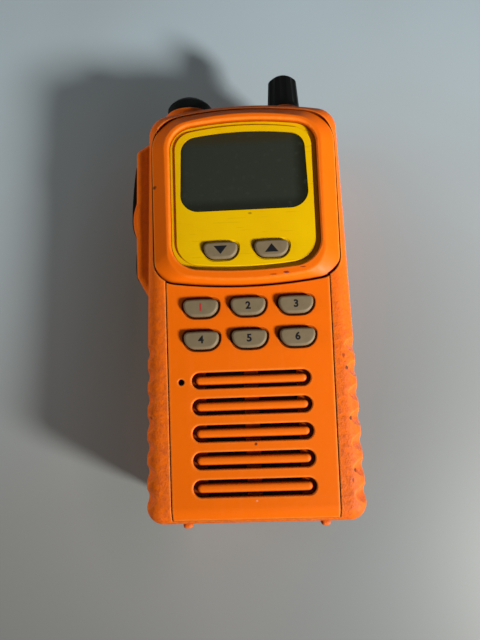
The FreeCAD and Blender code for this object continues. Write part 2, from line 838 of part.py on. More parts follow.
def main_case():
    shell = shell_form(0, case_depth, front_edge_round)
    shell = fuse_all([shell, housing_form(), collar(knob_offset, knob_collar_radius),
                      collar(-antenna_offset, antenna_collar_radius)])
    shell = cut_all(shell, grip_hollow_cuts())
    shell = shell.cut(cavity())
    bosses = [rod(boss_radius, V(x, front_wall - 1, z), V(0, 1, 0), case_depth - front_wall + 1)
              for x, z in boss_places()]
    bosses += [rod(retainer_boss_radius, V(x, front_wall - 1, z), V(0, 1, 0),
                   retainer_front() - front_wall + 1) for x, z in retainer_places()]
    feet = [foot(side * foot_spacing / 2, front_foot_set_back) for side in (-1, 1)]
    shell = fuse_all([shell] + [boss.common(shell_form(0, case_depth, front_edge_round)) for boss in bosses]
                     + feet)
    cuts = [rod(case_screw_radius, V(x, case_depth - case_screw_length + bay_floor, z), V(0, 1, 0),
                case_screw_length) for x, z in boss_places()]
    cuts += [rod(screw_radius, V(x, front_wall + 0.5, z), V(0, 1, 0), retainer_front())
             for x, z in retainer_places()]
    cuts += [button_pocket_cut(ptt_low, ptt_length), button_pocket_cut(aux_low, aux_length)]
    cuts += top_control_cuts()
    panel_pocket = panel_outline().grown(groove).prism(-1, panel_thickness)
    panel_window = panel_outline()
    panel_window = Outline(case_bottom + side_wall, bezel_foot - 0.6, panel_half_low - panel_ledge,
                           panel_half_top - panel_ledge, low_round=1.0, top_round=1.0)
    cuts += [panel_pocket, panel_window.prism(0, front_wall + 1)]
    cuts += [bezel_outline.grown(groove).prism(-1, bezel_seat),
             insert_outline.grown(-0.6).prism(0, front_wall + 1)]
    return cut_all(shell, cuts)


def top_control_cuts():
    """Recesses and holes in the top for the two controls."""
    up = V(0, 0, 1)
    bottom = case_top - case_crown - 2 * side_wall
    cuts = []
    for x, thread in ((knob_offset, pot_bushing_radius), (-antenna_offset, socket_radius)):
        recess = V(x, control_set_back, collar_top(x) - collar_recess)
        cuts.append(rod(thread + nut_overlap + fit_gap, recess, up, collar_recess + 1))
        cuts.append(rod(thread + fit_gap, V(x, control_set_back, bottom), up, case_height))
    return cuts


# ---- top controls ------------------------------------------------------------------------------
def top_wall_under():
    """Height of the flat seat under the top wall at the controls."""
    return case_top - case_crown - side_wall


def volume_pot():
    z = top_wall_under() - pot_height
    half = pot_size / 2
    y = control_set_back
    body = rounded_block(knob_offset - half, knob_offset + half, y - half, y + half, z, z + pot_height, 0.6,
                         V(0, 0, 1))
    bushing = rod(pot_bushing_radius, V(knob_offset, y, z), V(0, 0, 1),
                  collar_top(knob_offset) + pot_bushing_rise - z)
    bore = rod(pot_shaft_radius + shaft_gap, V(knob_offset, y, z + 1.5), V(0, 0, 1), case_height)
    tabs = [block(knob_offset + i * 3 - 0.5, knob_offset + i * 3 + 0.5, y - 0.4, y + 0.4, z - 2.5, z)
            for i in (-1, 0, 1)]
    return fuse_all([body, bushing] + tabs).cut(bore)


def ring_nut(x, thread):
    """A slotted ring nut lying in a collar's recess."""
    z = collar_top(x) - collar_recess
    nut = tube(thread + nut_overlap, thread, V(x, control_set_back, z), V(0, 0, 1), nut_thickness)
    slot = block(x - case_width, x + case_width, control_set_back - 0.5, control_set_back + 0.5,
                 z + nut_thickness - 0.7, z + nut_thickness)
    return nut.cut(slot)


def pot_shaft():
    start = V(knob_offset, control_set_back, top_wall_under() - pot_height + 1.7)
    end = knob_foot() + knob_height - 2.5
    return rod(pot_shaft_radius, start, V(0, 0, 1), end - start.z)


def knob_foot():
    return collar_top(knob_offset) + slide_gap


def knob_sleeve():
    start = V(knob_offset, control_set_back, collar_top(knob_offset) + pot_bushing_rise + slide_gap)
    length = knob_foot() + knob_height - 2.5 - start.z
    return tube(pot_shaft_radius + knob_sleeve_wall, pot_shaft_radius, start, V(0, 0, 1), length)


def volume_knob():
    z = knob_foot()
    base = V(knob_offset, control_set_back, z)
    body = Part.makeCone(knob_radius, knob_radius - knob_taper, knob_height, base)
    top = [edge for edge in body.Edges if edge.BoundBox.ZMin > z + knob_height - 0.01]
    body = body.makeChamfer(knob_top_chamfer, top)
    cuts = []
    for i in range(knob_flutes):
        angle = 2 * math.pi * i / knob_flutes
        away = knob_radius + knob_flute_radius - knob_flute_depth
        place = base + V(away * math.cos(angle), away * math.sin(angle), 1.6)
        lean = V(-knob_taper * math.cos(angle), -knob_taper * math.sin(angle), knob_height)
        cuts.append(rod(knob_flute_radius, place, lean, knob_height))
    skirt = pot_bushing_radius + 0.6
    cuts.append(rod(skirt, base - V(0, 0, 1), V(0, 0, 1), pot_bushing_rise + 1))
    bore = pot_shaft_radius + knob_sleeve_wall
    cuts.append(rod(bore, base, V(0, 0, 1), knob_height - 2.5))
    return cut_all(body, cuts)


def antenna_socket():
    z = top_wall_under()
    base = V(-antenna_offset, control_set_back, z - socket_depth)
    up = V(0, 0, 1)
    flange = rod(socket_radius + socket_flange, V(-antenna_offset, control_set_back, z - 1.5), up, 1.5)
    top = collar_top(-antenna_offset) + socket_rise
    barrel = rod(socket_radius, base, up, top - base.z)
    rim = [edge for edge in barrel.Edges if edge.BoundBox.ZMin > top - 0.01]
    barrel = barrel.makeChamfer(0.5, rim)
    bore = rod(insulator_radius, base, up, case_height)
    return fuse_all([flange, barrel]).cut(bore)


def socket_insulator():
    base = V(-antenna_offset, control_set_back, top_wall_under() - socket_depth)
    length = collar_top(-antenna_offset) + socket_rise - 0.8 - base.z
    return tube(insulator_radius, socket_pin_hole, base, V(0, 0, 1), length)


def cap_foot():
    return collar_top(-antenna_offset) + slide_gap


def antenna_cap():
    z = cap_foot()
    base = V(-antenna_offset, control_set_back, z)
    wall = rod(cap_radius, base, V(0, 0, 1), cap_wall_height)
    sphere_radius = (cap_radius ** 2 + cap_dome_rise ** 2) / (2 * cap_dome_rise)
    apex = z + cap_wall_height + cap_dome_rise
    ball = Part.makeSphere(sphere_radius, V(-antenna_offset, control_set_back, apex - sphere_radius))
    dome = ball.common(rod(cap_radius, base + V(0, 0, cap_wall_height), V(0, 0, 1), cap_dome_rise))
    body = fuse_all([wall, dome])
    shoulder = [edge for edge in body.Edges if abs(edge.BoundBox.ZMin - z - cap_wall_height) < 0.01
                and abs(edge.BoundBox.ZMax - z - cap_wall_height) < 0.01]
    body = body.makeFillet(0.8, shoulder)
    bore = rod(socket_radius + shaft_gap, base - V(0, 0, 1), V(0, 0, 1), socket_rise + 1.4)
    lead = Part.makeCone(socket_radius + 0.8, socket_radius + shaft_gap, 0.8, base)
    return body.cut(bore).cut(lead)


# ---- side keys ---------------------------------------------------------------------------------
def side_board_left():
    """X of the side switch board's outer face."""
    return -chassis_half_width + side_board_inset


def button_stem_end():
    return -cavity_half + 0.8


def bulge_arc(y, crest_x, crest_z, end_x, end_z):
    """An arc that is upright at its crest and ends at a given point."""
    run = end_z - crest_z
    drop = end_x - crest_x
    radius = (run ** 2 + drop ** 2) / (2 * drop)
    middle = V(crest_x + radius - math.sqrt(radius ** 2 - run ** 2 / 4), y, crest_z + run / 2)
    return Part.Arc(V(crest_x, y, crest_z), middle, V(end_x, y, end_z)).toShape()


def side_key(low, length, proud, crest, low_proud, top_proud):
    """A bulged rubber button with a stem through the wall; crest is the height of its bulge's summit."""
    z0, z1 = button_span(low, length)
    face = housing_face_x
    floor = face + button_pocket - button_travel - slide_gap
    y0 = housing_mid_y - side_button_width / 2
    low_end = V(face - low_proud, y0, z0)
    top_end = V(face - top_proud, y0, z1)
    profile = Part.Wire([Part.LineSegment(V(floor, y0, z0), low_end).toShape(),
                         bulge_arc(y0, face - proud, z0 + crest, low_end.x, z0),
                         bulge_arc(y0, face - proud, z0 + crest, top_end.x, z1),
                         Part.LineSegment(top_end, V(floor, y0, z1)).toShape(),
                         Part.LineSegment(V(floor, y0, z1), V(floor, y0, z0)).toShape()])
    pad = Part.Face(profile).extrude(V(0, side_button_width, 0))
    corners = rounded_block(face - 2 * proud - 1, floor, y0, y0 + side_button_width, z0, z1,
                            side_button_width / 2 - 0.8, V(1, 0, 0))
    pad = pad.common(corners)
    rim = [edge for edge in pad.Edges if edge.BoundBox.XMax < floor - 0.5
           and edge.BoundBox.YMax - edge.BoundBox.YMin < side_button_width - 0.1]
    pad = pad.makeFillet(button_edge_round, rim)
    stem = rod(button_stem_radius, V(floor - 0.5, housing_mid_y, (z0 + z1) / 2), V(1, 0, 0),
               button_stem_end() - floor + 0.5)
    return fuse_all([pad, stem])


def button_middle(low, length):
    z0, z1 = button_span(low, length)
    return (z0 + z1) / 2


def side_switch_body(low, length):
    """A square push switch on the side board, its plunger just short of the button's stem."""
    z = button_middle(low, length)
    tip = button_stem_end() + button_travel + side_switch_gap
    half = side_switch_size / 2
    y = housing_mid_y
    body = rounded_block(tip + side_switch_nose, side_board_left(), y - half, y + half, z - half, z + half,
                         0.4, V(1, 0, 0))
    nose = rod(side_switch_nose_radius, V(tip, housing_mid_y, z), V(1, 0, 0), 2 * side_switch_nose)
    return fuse_all([body, nose])


def side_switch_board():
    x = side_board_left()
    low = button_middle(aux_low, aux_length) - side_board_margin
    high = button_middle(ptt_low, ptt_length) + side_board_margin
    half = side_board_width / 2
    return block(x, x + side_board_thickness, housing_mid_y - half, housing_mid_y + half, low, high)


# ---- boards, chassis and loudspeaker -----------------------------------------------------------
def keypad_mat():
    places = panel_key_places() + arrow_key_places()
    half = key_column_pitch + key_width / 2 + mat_margin / 2
    low = min(z for _, z in places) - key_height / 2 - mat_margin / 2
    high = max(z for _, z in places) + key_height / 2 + mat_margin / 2
    sheet = rounded_block(-half, half, key_stop, mat_back, low, high, 2.0, V(0, 1, 0))
    posts = [rod(mat_post_radius, V(x, mat_back - 0.3, z), V(0, 1, 0), switch_front - mat_back + 0.25)
             for x, z in places]
    return fuse_all([sheet] + posts)


def key_switches():
    """One metal dome on the board behind each key."""
    domes = []
    for x, z in panel_key_places() + arrow_key_places():
        dome = rod(switch_radius, V(x, switch_front, z), V(0, 1, 0), switch_thickness)
        domes.append(dome.makeFillet(0.4, edges_at_y(dome, switch_front)))
    return Part.makeCompound(domes)


def board_post_places():
    """Where the chassis posts carry the control board."""
    low = case_bottom + board_low + board_post_inset
    high = case_top - chassis_top_margin - board_post_inset
    x = (lcd_width / 2 + lcd_frame_wall + board_half_width) / 2
    return [(-x, low), (x, low), (-x, high), (x, high)]


def control_board():
    low = case_bottom + board_low
    high = case_top - board_top_margin
    board = rounded_block(-board_half_width, board_half_width, board_front, board_back, low, high, 2.0,
                          V(0, 1, 0))
    cuts = [rod(boss_radius + 0.5, V(x, 0, z), V(0, 1, 0), case_depth) for x, z in boss_places()]
    cuts += [rod(screw_radius, V(x, 0, z), V(0, 1, 0), case_depth) for x, z in board_post_places()]
    return cut_all(board, cuts)


def chassis_plate():
    low = case_bottom + board_low
    high = case_top - chassis_top_margin
    left = side_board_left() + side_board_thickness
    plate = block(left, chassis_half_width, chassis_front, chassis_back, low, high)
    rim = block(left, chassis_half_width, chassis_back - 0.5, rf_board_front, low, high)
    rim = rim.cut(block(left + 1.5, chassis_half_width - 1.5, chassis_back - 1, rf_board_front + 1,
                        low + 1.5, high - 1.5))
    ribs = [block(left + 1, chassis_half_width - 1, chassis_back - 0.5, rf_board_front, z - 0.6, z + 0.6)
            for z in (low + (high - low) / 3, low + (high - low) * 2 / 3)]
    posts = [rod(chassis_post_radius, V(x, board_back, z), V(0, 1, 0), chassis_gap + 0.5)
             for x, z in board_post_places() if x > 0]
    posts += [block(left, left + 3.0, board_back, chassis_front + 0.5, z - 2.5, z + 2.5)
              for x, z in board_post_places() if x < 0]
    solid = fuse_all([plate, rim] + ribs + posts)
    holes = [rod(screw_radius, V(x, board_back - 1, z), V(0, 1, 0), chassis_gap + 2)
             for x, z in board_post_places()]
    holes.append(connector_form(0.5))
    return cut_all(solid, holes)


def rf_board_span():
    return case_bottom + board_low + rf_board_low, case_top - chassis_top_margin - rf_board_top_margin


def rf_board():
    low, high = rf_board_span()
    return rounded_block(-rf_board_half_width, rf_board_right, rf_board_front, rf_board_back, low, high, 1.0,
                         V(0, 1, 0))


def rf_shields():
    """Two screening cans on the transceiver board."""
    low, high = rf_board_span()
    left = -rf_board_half_width + shield_margin
    middle = left + large_shield_width
    spans = ((left, middle, low + shield_margin, low + shield_margin + large_shield_length),
             (middle + shield_gap, middle + shield_gap + small_shield_width, low + small_shield_low,
              high - 2 * shield_margin))
    cans = []
    for x0, x1, z0, z1 in spans:
        outer = rounded_block(x0, x1, rf_board_back, rf_board_back + shield_height, z0, z1, 0.8, V(0, 1, 0))
        inner = block(x0 + shield_wall, x1 - shield_wall, rf_board_back - 1,
                      rf_board_back + shield_height - shield_wall, z0 + shield_wall, z1 - shield_wall)
        cans.append(outer.cut(inner))
    return Part.makeCompound(cans)


def connector_form(gap=0.0):
    low = case_bottom + board_low + connector_lift
    half = connector_width / 2 + gap
    high = low + connector_height
    return rounded_block(-half, half, board_back, rf_board_front, low - gap, high + gap, 0.5, V(0, 1, 0))


def board_connector():
    """The header that joins the two boards through the chassis."""
    return connector_form()


def pan_screw(x, z, head_front, length, radius, head_radius, head_height):
    """A screw driven along -Y or +Y by its sign of length, its head ending at head_front."""
    direction = V(0, 1, 0) if length > 0 else V(0, -1, 0)
    head = rod(head_radius, V(x, head_front, z), direction, head_height)
    outer = [edge for edge in head.Edges if abs(edge.CenterOfMass.y - head_front) < 0.01]
    head = head.makeFillet(0.3, outer)
    shank = rod(radius, V(x, head_front, z), direction, abs(length) + head_height)
    recess = [block(x - a, x + a, head_front - 0.6, head_front + 0.6, z - b, z + b)
              for a, b in ((head_radius * 0.6, 0.25), (0.25, head_radius * 0.6))]
    return cut_all(fuse_all([head, shank]), recess)


def board_screws():
    """The control board's four screws and the speaker retainer's four."""
    screws = [pan_screw(x, z, board_front - screw_head_height, 3.6, screw_radius, screw_head_radius,
                        screw_head_height) for x, z in board_post_places()]
    back = retainer_front() + retainer_thickness + screw_head_height
    screws += [pan_screw(x, z, back, -3.8, screw_radius, screw_head_radius, screw_head_height)
               for x, z in retainer_places()]
    return Part.makeCompound(screws)


def speaker_face():
    return panel_thickness + slot_web_thickness + mesh_thickness


def speaker_mesh():
    front = panel_thickness + slot_web_thickness
    half = speaker_radius + mesh_margin
    return rounded_block(-half, half, front, front + mesh_thickness, slot_middle - half, slot_middle + half,
                         mesh_corner, V(0, 1, 0))


def speaker_frame():
    base = V(0, speaker_face(), slot_middle)
    along = V(0, 1, 0)
    mouth = speaker_radius - speaker_rim
    outer = rod(speaker_radius, base, along, speaker_depth)
    cuts = [rod(mouth, base, along, speaker_seat),
            Part.makeCone(mouth - 0.6, speaker_magnet_radius - 1.2, speaker_depth - speaker_seat - 0.8,
                          base + along * speaker_seat, along),
            rod(speaker_magnet_radius - 1.6, base, along, speaker_depth + 1)]
    return cut_all(outer, cuts)


def speaker_cone():
    """The paper cone with its surround and dust cap, seated on the frame's ledge."""
    base = V(0, speaker_face(), slot_middle)
    along = V(0, 1, 0)
    wide = speaker_radius - speaker_rim - 1.5
    narrow = speaker_magnet_radius - 3.0
    deep = speaker_depth - speaker_seat - 1.6
    seat = base + along * speaker_seat
    cone = Part.makeCone(wide, narrow, deep, seat, along)
    front = Part.makeCone(wide, narrow, deep, seat - along * 0.5, along)
    surround = tube(speaker_radius - speaker_rim, wide - 0.3, seat - along * 0.5, along, 0.5)
    cap = rod(narrow + 0.4, seat + along * (deep - 0.5), along, 0.5)
    return fuse_all([cone.cut(front), surround, cap])


def speaker_magnet():
    base = V(0, speaker_face() + speaker_depth, slot_middle)
    pot = rod(speaker_magnet_radius, base, V(0, 1, 0), speaker_magnet_depth)
    pot = pot.makeChamfer(0.6, edges_at_y(pot, base.y + speaker_magnet_depth))
    core = rod(speaker_magnet_radius - 3.8, base - V(0, 1.0, 0), V(0, 1, 0), 1.2)
    return fuse_all([pot, core])


def speaker_retainer():
    front = retainer_front()
    xs = [x for x, _ in retainer_places()]
    zs = [z for _, z in retainer_places()]
    plate = rounded_block(min(xs) - retainer_margin, max(xs) + retainer_margin, front,
                          front + retainer_thickness, min(zs) - retainer_margin, max(zs) + retainer_margin,
                          2.5, V(0, 1, 0))
    hole = speaker_magnet_radius + retainer_hole_gap
    cuts = [rod(hole, V(0, 0, slot_middle), V(0, 1, 0), case_depth)]
    cuts += [rod(screw_radius, V(x, 0, z), V(0, 1, 0), case_depth) for x, z in retainer_places()]
    return cut_all(plate, cuts)


def microphone_boot():
    start = V(-mic_offset, panel_thickness, mic_z)
    boot = rod(mic_radius + mic_boot_wall, start, V(0, 1, 0), mic_boot_length)
    room = rod(mic_radius, start + V(0, 0.7, 0), V(0, 1, 0), mic_boot_length)
    port = rod(mic_hole_radius, start - V(0, 1, 0), V(0, 1, 0), 3.0)
    return boot.cut(room).cut(port)


def microphone():
    return rod(mic_radius, V(-mic_offset, panel_thickness + 0.7, mic_z), V(0, 1, 0), mic_boot_length - 1.1)


# ---- rear cover --------------------------------------------------------------------------------
def latch_foot():
    return bay_top + latch_lift


def latch_recess():
    """The shallow recess in the rear cover's back that the latch slides in."""
    half = latch_width / 2 + slide_gap
    high = latch_foot() + latch_height + latch_travel + slide_gap
    return rounded_block(-half, half, total_depth - latch_thickness, total_depth + 1,
                         latch_foot() - slide_gap, high, 1.5, V(0, 1, 0))


def tongue_back():
    return total_depth - latch_thickness


def rear_cover():
    form = shell_form(total_depth, cover_front, back_edge_round)
    reach = case_width
    bay = block(-reach, reach, bay_face, total_depth + 1, 0, bay_top)
    room_outline = case_outline.grown(-side_wall)
    room_outline = Outline(bay_top + rear_wall, room_outline.top, room_outline.half_low,
                           room_outline.half_top, crown=room_outline.crown, low_round=1.0,
                           top_round=top_corner_round - side_wall)
    room = room_outline.prism(cover_front - 1, total_depth - rear_wall - latch_thickness)
    room = room.makeFillet(back_edge_round - 1.5,
                           edges_at_y(room, total_depth - rear_wall - latch_thickness))
    cover = form.cut(bay).cut(room)
    tall = [rod(boss_radius + 0.6, V(x, cover_front, z), V(0, 1, 0), total_depth - cover_front)
            for x, z in boss_places() if z > bay_top]
    sockets = [rod(insert_radius + 1.2, V(x, total_depth - insert_length - 1.5, z), V(0, 1, 0),
                   insert_length + 1.5) for x, z in clip_insert_places()]
    cover = fuse_all([cover] + [piece.common(form) for piece in tall + sockets])
    cuts = [latch_recess(), latch_slot()]
    for x, z in boss_places():
        cuts.append(rod(case_screw_radius + 0.2, V(x, 0, z), V(0, 1, 0), 2 * total_depth))
        cuts.append(rod(case_screw_head_radius + 0.2, V(x, screw_seat(), z), V(0, 1, 0), total_depth))
    for x, z in clip_insert_places():
        cuts.append(rod(insert_radius, V(x, total_depth - insert_length, z), V(0, 1, 0), insert_length + 1))
    cuts.append(terminal_block_form(fit_gap))
    return cut_all(cover, cuts)


def latch_slot():
    """Where the latch's stem runs up and down through the recess floor."""
    half = latch_tongue_width / 2 + slide_gap
    return block(-half, half, tongue_back() - latch_tongue_thickness - slide_gap, tongue_back() + 0.5,
                 bay_top - 1, latch_foot() + latch_height - 2.0 + latch_travel)


def battery_latch():
    z = latch_foot()
    half = latch_width / 2
    slide = rounded_block(-half, half, total_depth - latch_thickness + 0.1, total_depth - 0.5, z,
                          z + latch_height, 1.2, V(0, 1, 0))
    ribs = [rod(latch_rib_radius, V(latch_rib_inset - half, total_depth - latch_rib_radius,
                                    z + latch_rib_first + i * latch_rib_pitch), V(1, 0, 0),
                latch_width - 2 * latch_rib_inset) for i in range(latch_rib_count)]
    tongue = block(-latch_tongue_width / 2, latch_tongue_width / 2,
                   tongue_back() - latch_tongue_thickness, tongue_back() + 0.3, bay_top,
                   z + latch_height - 2.5)
    return fuse_all([slide, tongue] + ribs)


def clip_insert_places():
    z = case_top - insert_drop
    return [(-insert_spacing / 2, z), (insert_spacing / 2, z)]


def clip_inserts():
    """Threaded inserts that a belt clip screws into."""
    return Part.makeCompound([tube(insert_radius, insert_bore_radius,
                                   V(x, total_depth - insert_length, z), V(0, 1, 0), insert_length)
                              for x, z in clip_insert_places()])


def screw_seat():
    """Depth at which the case screws' heads bear."""
    return bay_face - 1.2


def case_screws():
    screws = [pan_screw(x, z, screw_seat() + 1.1, -(case_screw_length - 3.0), case_screw_radius,
                        case_screw_head_radius, 1.1) for x, z in boss_places()]
    return Part.makeCompound(screws)


def case_gasket():
    inner = case_outline.grown(-side_wall)
    inner.low_round = cavity_low_round
    inner.top_round = top_corner_round - side_wall
    return (case_outline.grown(-0.5).prism(case_depth, cover_front)
            .cut(inner.prism(case_depth - 1, cover_front + 1)))


def contact_z():
    return battery_top - contact_drop


def contact_places():
    return [(i - (contact_count - 1) / 2) * contact_pitch for i in range(contact_count)]


def terminal_block_form(gap=0.0):
    """The insulating block that carries the terminals, let into the bay's floor."""
    half = (contact_count - 1) / 2 * contact_pitch + contact_width / 2 + terminal_block_margin + gap
    rise = terminal_block_half_height + gap
    return block(-half, half, cover_front - gap, bay_face + gap, contact_z() - rise, contact_z() + rise)


def terminal_block():
    holes = [rod(terminal_radius, V(x, 0, contact_z()), V(0, 1, 0), total_depth) for x in contact_places()]
    return cut_all(terminal_block_form(), holes)


def battery_terminals():
    """Round sprung pins that meet the battery's pads."""
    pins = []
    for x in contact_places():
        pin = rod(terminal_radius, V(x, cover_front - 2.0, contact_z()), V(0, 1, 0),
                  bay_face + slide_gap / 2 - cover_front + 2.0)
        pins.append(pin.makeFillet(0.4, edges_at_y(pin, bay_face + slide_gap / 2)))
    return Part.makeCompound(pins)


# ---- battery -----------------------------------------------------------------------------------
def battery_room():
    """X, Y and Z limits of the room for the cells."""
    half = battery_room_half
    return (-half, half, battery_face + battery_cover_thickness, total_depth - battery_wall,
            case_bottom + battery_wall + 2.0, battery_top - battery_wall)


def battery_case():
    form = shell_form(total_depth, battery_face, back_edge_round, battery_side_inset, case_bottom + 0.3,
                      battery_top)
    feet = [foot(side * foot_spacing / 2, total_depth - rear_foot_set_back - foot_length)
            for side in (-1, 1)]
    solid = fuse_all([form] + feet)
    x0, x1, y0, y1, z0, z1 = battery_room()
    room = block(x0, x1, battery_face - 1, y1, z0, z1)
    sides = [edge for edge in edges_along(room, V(0, 0, 1)) if edge.BoundBox.YMin > y1 - 0.01]
    room = room.makeFillet(back_edge_round - battery_wall, sides)
    seat = battery_cover_outline(fit_gap)
    cuts = [room, seat]
    middle = case_bottom + battery_height * 0.57
    cuts.append(rounded_block(-label_width / 2, label_width / 2, total_depth - label_depth, total_depth + 1,
                              middle - label_height / 2, middle + label_height / 2, 2.5, V(0, 1, 0)))
    for i in range(rib_count):
        z = case_bottom + 6.5 + i * rib_pitch
        cuts.append(racetrack(label_width, rib_width, z, total_depth - rib_depth, total_depth + 1))
    keeper = latch_tongue_width / 2 + 1.0
    cuts.append(block(-keeper, keeper, tongue_back() - latch_tongue_thickness - 0.8, tongue_back() + 0.4,
                      battery_top - 1.2, battery_top + 1))
    return cut_all(solid, cuts)


def battery_cover_outline(gap):
    x0, x1, _, _, z0, z1 = battery_room()
    back = battery_face + battery_cover_thickness
    return rounded_block(x0 - 0.7 - gap, x1 + 0.7 + gap, battery_face - gap * 5, back, z0 - 0.7 - gap,
                         z1 + 0.7 + gap, 3.5, V(0, 1, 0))


def battery_cover():
    cover = battery_cover_outline(0)
    cuts = [block(x - contact_width / 2, x + contact_width / 2, battery_face - 1,
                  battery_face + contact_thickness + 0.2, contact_z() - contact_height / 2,
                  contact_z() + contact_height / 2) for x in contact_places()]
    cuts += [rod(0.6, V(x, 0, contact_z()), V(0, 1, 0), total_depth) for x in contact_places()]
    return cut_all(cover, cuts)


def battery_contacts():
    """Flat pads on the battery's face, each with a rivet to the board inside."""
    pads = []
    for x in contact_places():
        front = battery_face + 0.2
        pad = block(x - contact_width / 2 + 0.05, x + contact_width / 2 - 0.05, front,
                    front + contact_thickness, contact_z() - contact_height / 2 + 0.05,
                    contact_z() + contact_height / 2 - 0.05)
        rivet = rod(0.55, V(x, front, contact_z()), V(0, 1, 0), battery_cover_thickness - 0.2)
        pads.append(fuse_all([pad, rivet]))
    return Part.makeCompound(pads)


def battery_cells():
    """Two flat lithium cells side by side."""
    _, _, y0, _, z0, _ = battery_room()
    cells = []
    for side in (-1, 1):
        near = side * cell_gap / 2
        far = side * (cell_gap / 2 + cell_width)
        cells.append(rounded_block(min(near, far), max(near, far), y0, y0 + cell_thickness,
                                   z0 + cell_foot_slack, z0 + cell_foot_slack + cell_length,
                                   cell_thickness / 2 - 0.2, V(0, 0, 1)))
    return Part.makeCompound(cells)


def battery_board():
    """The protection board above the cells."""
    _, _, y0, _, z0, z1 = battery_room()
    low = z0 + cell_foot_slack + cell_length + battery_board_gap
    half = battery_board_width / 2
    return block(-half, half, y0, y0 + battery_board_thickness, low, z1 - battery_board_top_gap)


# ---- assembly ----------------------------------------------------------------------------------
def all_parts():
    """Every piece of the radio by its name."""
    insert_plate_face = insert_face - plateau_rise
    insert_back = insert_face + insert_thickness
    parts = {
        "main_case": main_case(),
        "front_panel": front_panel(),
        "display_bezel": display_bezel(),
        "display_insert": display_insert(),
        "display_lens": display_lens(),
        "lens_gasket": lens_gasket(),
        "lcd_frame": lcd_frame(),
        "lcd_cell": lcd_cell(),
        "lcd_backlight": lcd_backlight(),
        "volume_pot": volume_pot(),
        "pot_nut": ring_nut(knob_offset, pot_bushing_radius),
        "pot_shaft": pot_shaft(),
        "knob_sleeve": knob_sleeve(),
        "volume_knob": volume_knob(),
        "antenna_socket": antenna_socket(),
        "socket_insulator": socket_insulator(),
        "antenna_nut": ring_nut(-antenna_offset, socket_radius),
        "antenna_cap": antenna_cap(),
        "ptt_button": side_key(ptt_low, ptt_length, ptt_proud, ptt_crest, ptt_low_proud, ptt_top_proud),
        "side_button": side_key(aux_low, aux_length, aux_proud, aux_crest, aux_end_proud, aux_end_proud),
        "ptt_switch": side_switch_body(ptt_low, ptt_length),
        "side_switch": side_switch_body(aux_low, aux_length),
        "side_switch_board": side_switch_board(),
        "keypad_mat": keypad_mat(),
        "key_switches": key_switches(),
        "control_board": control_board(),
        "board_screws": board_screws(),
        "chassis_plate": chassis_plate(),
        "rf_board": rf_board(),
        "rf_shields": rf_shields(),
        "board_connector": board_connector(),
        "speaker_mesh": speaker_mesh(),
        "speaker_frame": speaker_frame(),
        "speaker_cone": speaker_cone(),
        "speaker_magnet": speaker_magnet(),
        "speaker_retainer": speaker_retainer(),
        "microphone_boot": microphone_boot(),
        "microphone": microphone(),
        "rear_cover": rear_cover(),
        "case_gasket": case_gasket(),
        "case_screws": case_screws(),
        "clip_inserts": clip_inserts(),
        "terminal_block": terminal_block(),
        "battery_terminals": battery_terminals(),
        "battery_latch": battery_latch(),
        "battery_case": battery_case(),
        "battery_cover": battery_cover(),
        "battery_contacts": battery_contacts(),
        "battery_cells": battery_cells(),
        "battery_board": battery_board(),
    }
    for number, (x, z) in enumerate(panel_key_places(), start=1):
        parts["key_%d" % number] = key_cap(x, z, 0, panel_thickness, key_proud)
    for name, (x, z) in zip(("key_down", "key_up"), arrow_key_places()):
        parts[name] = key_cap(x, z, insert_plate_face, insert_back, arrow_key_proud)
    return parts


def main():
    os.makedirs("parts", exist_ok=True)
    for name, shape in all_parts().items():
        shape = shape.copy()
        shape.translate(centre)
        print("%-20s solids %d valid %s" % (name, len(shape.Solids), shape.isValid()))
        shape.exportStep("parts/%s.step" % name)


if __name__ == "__main__":
    main()
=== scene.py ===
"""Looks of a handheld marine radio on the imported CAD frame: materials, legends, floor, light and camera.

The frame is the CAD model's: X to the right of someone facing the keypad, Y away from them and Z up. The
radio lies on its back in the main view, so the floor is the plane behind its battery. Objects are in metres,
as in Blender. Shaders and marks are written in millimetres, and MM turns millimetres into metres.
"""

import json
import math
from collections import namedtuple

import bmesh
import bpy
from mathutils import Matrix, Vector


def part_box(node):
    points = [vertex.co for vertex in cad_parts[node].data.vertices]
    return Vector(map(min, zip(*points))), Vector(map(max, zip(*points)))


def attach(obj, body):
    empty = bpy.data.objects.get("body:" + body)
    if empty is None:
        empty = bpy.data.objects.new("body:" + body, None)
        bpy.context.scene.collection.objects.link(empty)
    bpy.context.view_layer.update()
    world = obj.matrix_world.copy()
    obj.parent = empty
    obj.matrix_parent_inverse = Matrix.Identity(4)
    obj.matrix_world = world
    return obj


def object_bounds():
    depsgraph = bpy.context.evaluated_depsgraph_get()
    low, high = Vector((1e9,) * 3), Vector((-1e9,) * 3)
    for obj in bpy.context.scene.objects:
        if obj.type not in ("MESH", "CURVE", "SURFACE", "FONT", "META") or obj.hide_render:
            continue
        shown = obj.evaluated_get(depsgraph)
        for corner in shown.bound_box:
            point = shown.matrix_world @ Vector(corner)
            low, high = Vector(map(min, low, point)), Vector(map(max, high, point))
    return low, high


MM = 0.001
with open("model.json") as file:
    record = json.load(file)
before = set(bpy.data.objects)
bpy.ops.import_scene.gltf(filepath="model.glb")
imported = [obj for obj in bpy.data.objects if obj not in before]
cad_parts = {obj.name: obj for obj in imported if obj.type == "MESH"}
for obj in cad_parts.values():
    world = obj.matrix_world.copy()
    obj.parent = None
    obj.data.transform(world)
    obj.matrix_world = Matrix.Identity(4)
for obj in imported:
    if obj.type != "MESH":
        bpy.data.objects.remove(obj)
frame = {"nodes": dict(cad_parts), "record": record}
cad_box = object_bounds()
nodes = frame["nodes"]


